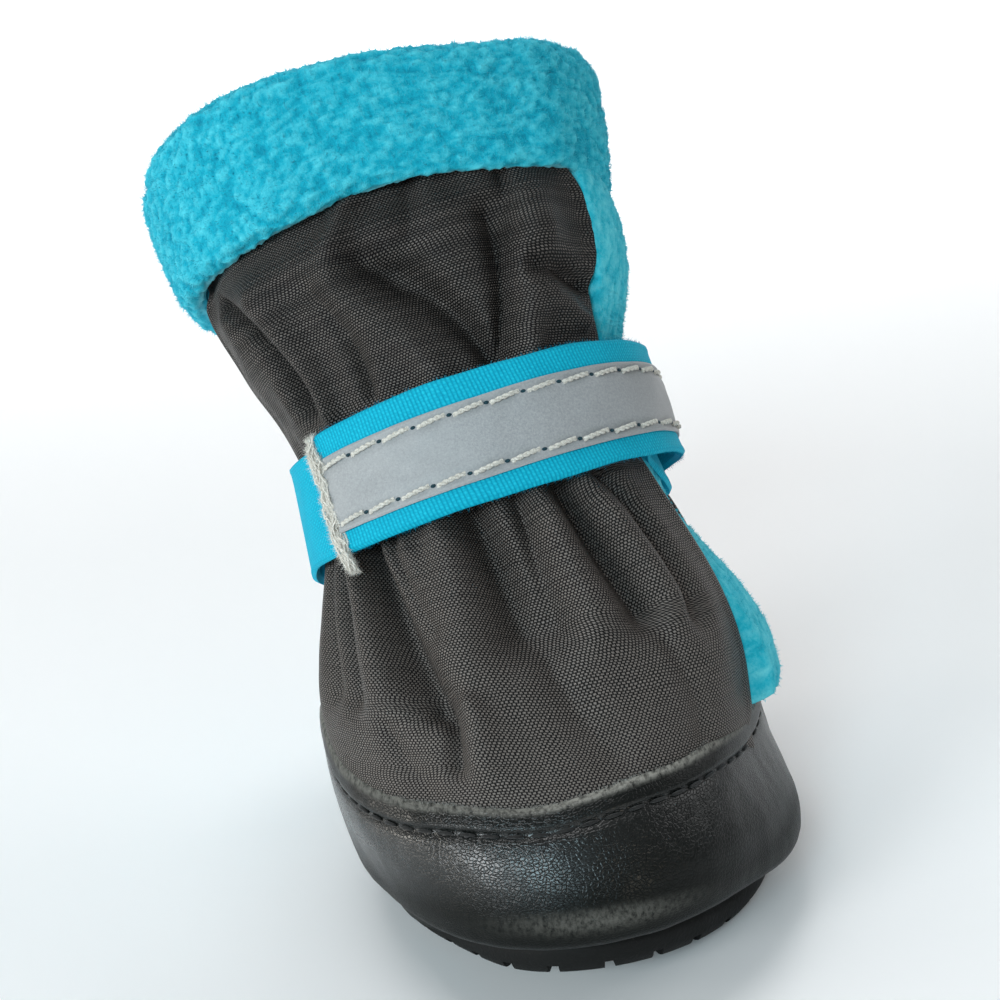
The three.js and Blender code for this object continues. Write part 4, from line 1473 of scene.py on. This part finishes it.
def sole_place(turn, share):
    inner, out, height = (np.interp(share, SOLE_ROWS[:, 0], SOLE_ROWS[:, k]) for k in (1, 2, 3))
    degrees, rim = wrapped(turn), ease(inner, 0.5, 1)
    trim = (3.6 * bell(degrees + 44, 30) + 1.3 * bell(degrees - 46, 32)) * rim
    trim = trim - 1.6 * bell(degrees + 2, 20) * rim
    flat = sole_outline(turn, out - trim) * inner[..., None]
    return np.concatenate([flat, (height + toe_lift(flat[..., 1]))[..., None]], -1)


# Slots cut from the tread: length, width, depth
RIM_SLOTS, RIM_SLOT = 28, (7.0, 1.3, 1.4)
CHEVRONS, CHEVRON_SLOT = 6, (11.0, 1.6, 1.1)
SIPE, CROSS_SIPE = (2.6, 0.55, 0.9), (1.9, 0.55, 0.9)
SIPE_RINGS = ((0.78, 30), (0.6, 22))  # share of the way out, count
RIM_INSET, SIPE_INSET = np.array(-2.0), np.array(-2.2)
CHEVRON_SIDE, CHEVRON_START, CHEVRON_PITCH, CHEVRON_TURN = 5.2, -17, 7, 24
CROSS_SHARE, CROSS_TURN = 0.965, 78


def sole_cutters():
    """Every slot: x, y, heading in degrees, length, width, depth."""
    slots = []
    for k in range(RIM_SLOTS):
        turn = np.radians(np.array((k + 0.5) * 360 / RIM_SLOTS))
        spot = sole_outline(turn, RIM_INSET)
        slots.append((*spot, math.degrees(math.atan2(*spot)), *RIM_SLOT))
    for k in range(CHEVRONS):
        for side in (-1, 1):
            y, heading = CHEVRON_START + k * CHEVRON_PITCH, 90 - side * CHEVRON_TURN
            slots.append((side * CHEVRON_SIDE, y, heading, *CHEVRON_SLOT))
    for ring, count in SIPE_RINGS:
        for k in range(count):
            turn = np.radians(np.array((k + 0.2) * 360 / count))
            x, y = sole_outline(turn, SIPE_INSET) * ring
            heading = math.degrees(math.atan2(x, y))
            slots.append((x, y, heading, *SIPE))
            slots.append((x * CROSS_SHARE, y * CROSS_SHARE, heading + CROSS_TURN, *CROSS_SIPE))
    return slots


outsole, _ = plate_piece("outsole_rubber", around=180, rings=56, place=sole_place)
places, axes = [], []
for x, y, heading, length, width, depth in sole_cutters():
    a = math.radians(heading)
    tilt = float(toe_lift(np.array(y - 0.5)) - toe_lift(np.array(y + 0.5)))
    ahead = np.array([math.sin(a), math.cos(a), -math.cos(a) * tilt])
    side = np.array([math.cos(a), -math.sin(a), math.sin(a) * tilt])
    places.append((x, y, float(toe_lift(np.array(y)))))
    axes.append(np.stack([side * width, ahead * length, np.array([0, 0, 2.0 * depth])], -1))
slot_model = add_primitive(bpy.ops.mesh.primitive_cube_add, size=MM)
cutters = repeat_piece("tread_slots", slot_model, np.array(places), np.array(axes))
cut = {"operation": "DIFFERENCE", "solver": "EXACT", "use_self": True}
finish_with(outsole, "BOOLEAN", object=cutters, **cut)
bpy.data.objects.remove(cutters, do_unlink=True)
smooth(outsole, 40)
dress(outsole, BLACK_RUBBER, "rubber", "outsole")


# Insole: a fleece pad on the sole. Both rows stand at shares of the way round, as on the sole.
INSOLE_ROUND = ((0, 0.3, 0.5, 0.6, 1.0), (0, 1, 1, 0.97, 0))
INSOLE_HEIGHT = ((0, 0.3, 0.36, 0.5, 0.6, 0.7, 1.0), (0, 0, 0.1, 1.0, 1.85, 2.0, 2.1))


def insole_place(turn, share):
    inner = np.interp(share, *INSOLE_ROUND)
    height = np.interp(share, *INSOLE_HEIGHT)
    flat = sole_outline(turn, np.full_like(turn, -FLEECE_WALL - GAP)) * inner[..., None]
    lift = SOLE_THICKNESS + GAP + height + toe_lift(flat[..., 1])
    return np.concatenate([flat, lift[..., None]], -1)


insole, insole_share = plate_piece("insole_fleece", around=200, rings=150, place=insole_place)
raise_pile(insole, 0.4, ease(insole_share, 0.55, 0.65))
smooth(insole)
dress(insole, LINING, "fleece", "insole")


# Stage: a pale floor that sweeps up behind, soft light and the camera
floor = named(add_primitive(bpy.ops.mesh.primitive_plane_add, size=4), "floor")
bpy.ops.object.mode_set(mode="EDIT")
bpy.ops.mesh.select_mode(type="EDGE")
bpy.ops.mesh.select_all(action="DESELECT")
bpy.ops.object.mode_set(mode="OBJECT")
for edge in floor.data.edges:
    edge.select = all(floor.data.vertices[k].co.y > 1.9 for k in edge.vertices)
bpy.ops.object.mode_set(mode="EDIT")
bpy.ops.mesh.extrude_region_move(TRANSFORM_OT_translate={"value": (0, 0, 3)})
bpy.ops.object.mode_set(mode="OBJECT")
corner = {"limit_method": "ANGLE", "angle_limit": math.radians(60)}
finish_with(floor, "BEVEL", width=1.2, segments=16, **corner)
smooth(floor)
floor_paint, _, _ = new_material(
    "pale_floor", Base_Color=(0.96, 0.96, 0.96, 1), Roughness=0.8, Specular_IOR_Level=0.2
)
floor.data.materials.append(floor_paint)


def soft_light(name, place, aim, size, power, colour):
    lamp = bpy.data.lights.new(name, "AREA")
    lamp.shape = "DISK"
    lamp.size = size
    lamp.energy = power
    lamp.color = colour
    piece = bpy.data.objects.new(name, lamp)
    piece.location = place
    piece.rotation_euler = (Vector(aim) - Vector(place)).to_track_quat("-Z", "Y").to_euler()
    bpy.context.collection.objects.link(piece)


AIM = (0, 0, 0.05)
WHITE = (1.0, 1.0, 1.0)
# name, place and aim in metres, width in metres, watts, colour
LIGHTS = (
    ("window", (-1.03, -1.0, 0.5), AIM, 0.6, 9.2, (0.94, 0.98, 1.0)),
    ("second window", (-0.42, -1.29, 0.7), AIM, 0.5, 7.4, (0.64, 0.9, 1.0)),
    ("side", (-1.49, -0.13, 0.28), AIM, 0.5, 4.5, (1.0, 0.95, 0.86)),
    ("fill", (1.4, 0.3, 1.0), AIM, 1.0, 4.5, WHITE),
    ("top", (-0.3, 0.35, 1.9), AIM, 1.0, 11.0, WHITE),
    ("glint", (0.87, -1.33, 0.2), AIM, 0.25, 1.0, (1.0, 0.88, 0.7)),
    ("back", (0.4, 1.5, 1.6), AIM, 1.2, 4.0, WHITE),
    ("backdrop", (0.0, 0.9, 1.2), (0, 2.2, 0.4), 1.0, 14.0, WHITE),
)
for light in LIGHTS:
    soft_light(*light)

world = bpy.context.scene.world or bpy.data.worlds.new("studio")
bpy.context.scene.world = world
world.use_nodes = True
sky = world.node_tree.nodes["Background"].inputs
sky["Color"].default_value = (0.95, 0.97, 1.0, 1)
sky["Strength"].default_value = 0.2

CAMERA_TURN, CAMERA_RISE, CAMERA_ROLL = (math.radians(a) for a in (4, 16, -8))
CAMERA_AWAY = 0.17
CAMERA_AIM = Vector((-0.003, -0.002, 0.05))
CAMERA_LENS = 50.2
SENSOR_WIDTH = 36
back = Vector((math.sin(CAMERA_TURN), -math.cos(CAMERA_TURN), 0)) * math.cos(CAMERA_RISE)
back.z = math.sin(CAMERA_RISE)
level_right = Vector((0, 0, 1)).cross(back).normalized()
level_up = back.cross(level_right)
right = level_right * math.cos(CAMERA_ROLL) + level_up * math.sin(CAMERA_ROLL)
up = level_up * math.cos(CAMERA_ROLL) - level_right * math.sin(CAMERA_ROLL)
lens = bpy.data.cameras.new("camera")
lens.lens = CAMERA_LENS
lens.sensor_width = SENSOR_WIDTH
lens.clip_start = 0.005
camera = bpy.data.objects.new("camera", lens)
turned = Matrix((right, up, back)).transposed().to_4x4()
camera.matrix_world = Matrix.Translation(CAMERA_AIM + back * CAMERA_AWAY) @ turned
bpy.context.collection.objects.link(camera)
bpy.context.scene.camera = camera
bpy.context.scene.view_settings.view_transform = "Standard"
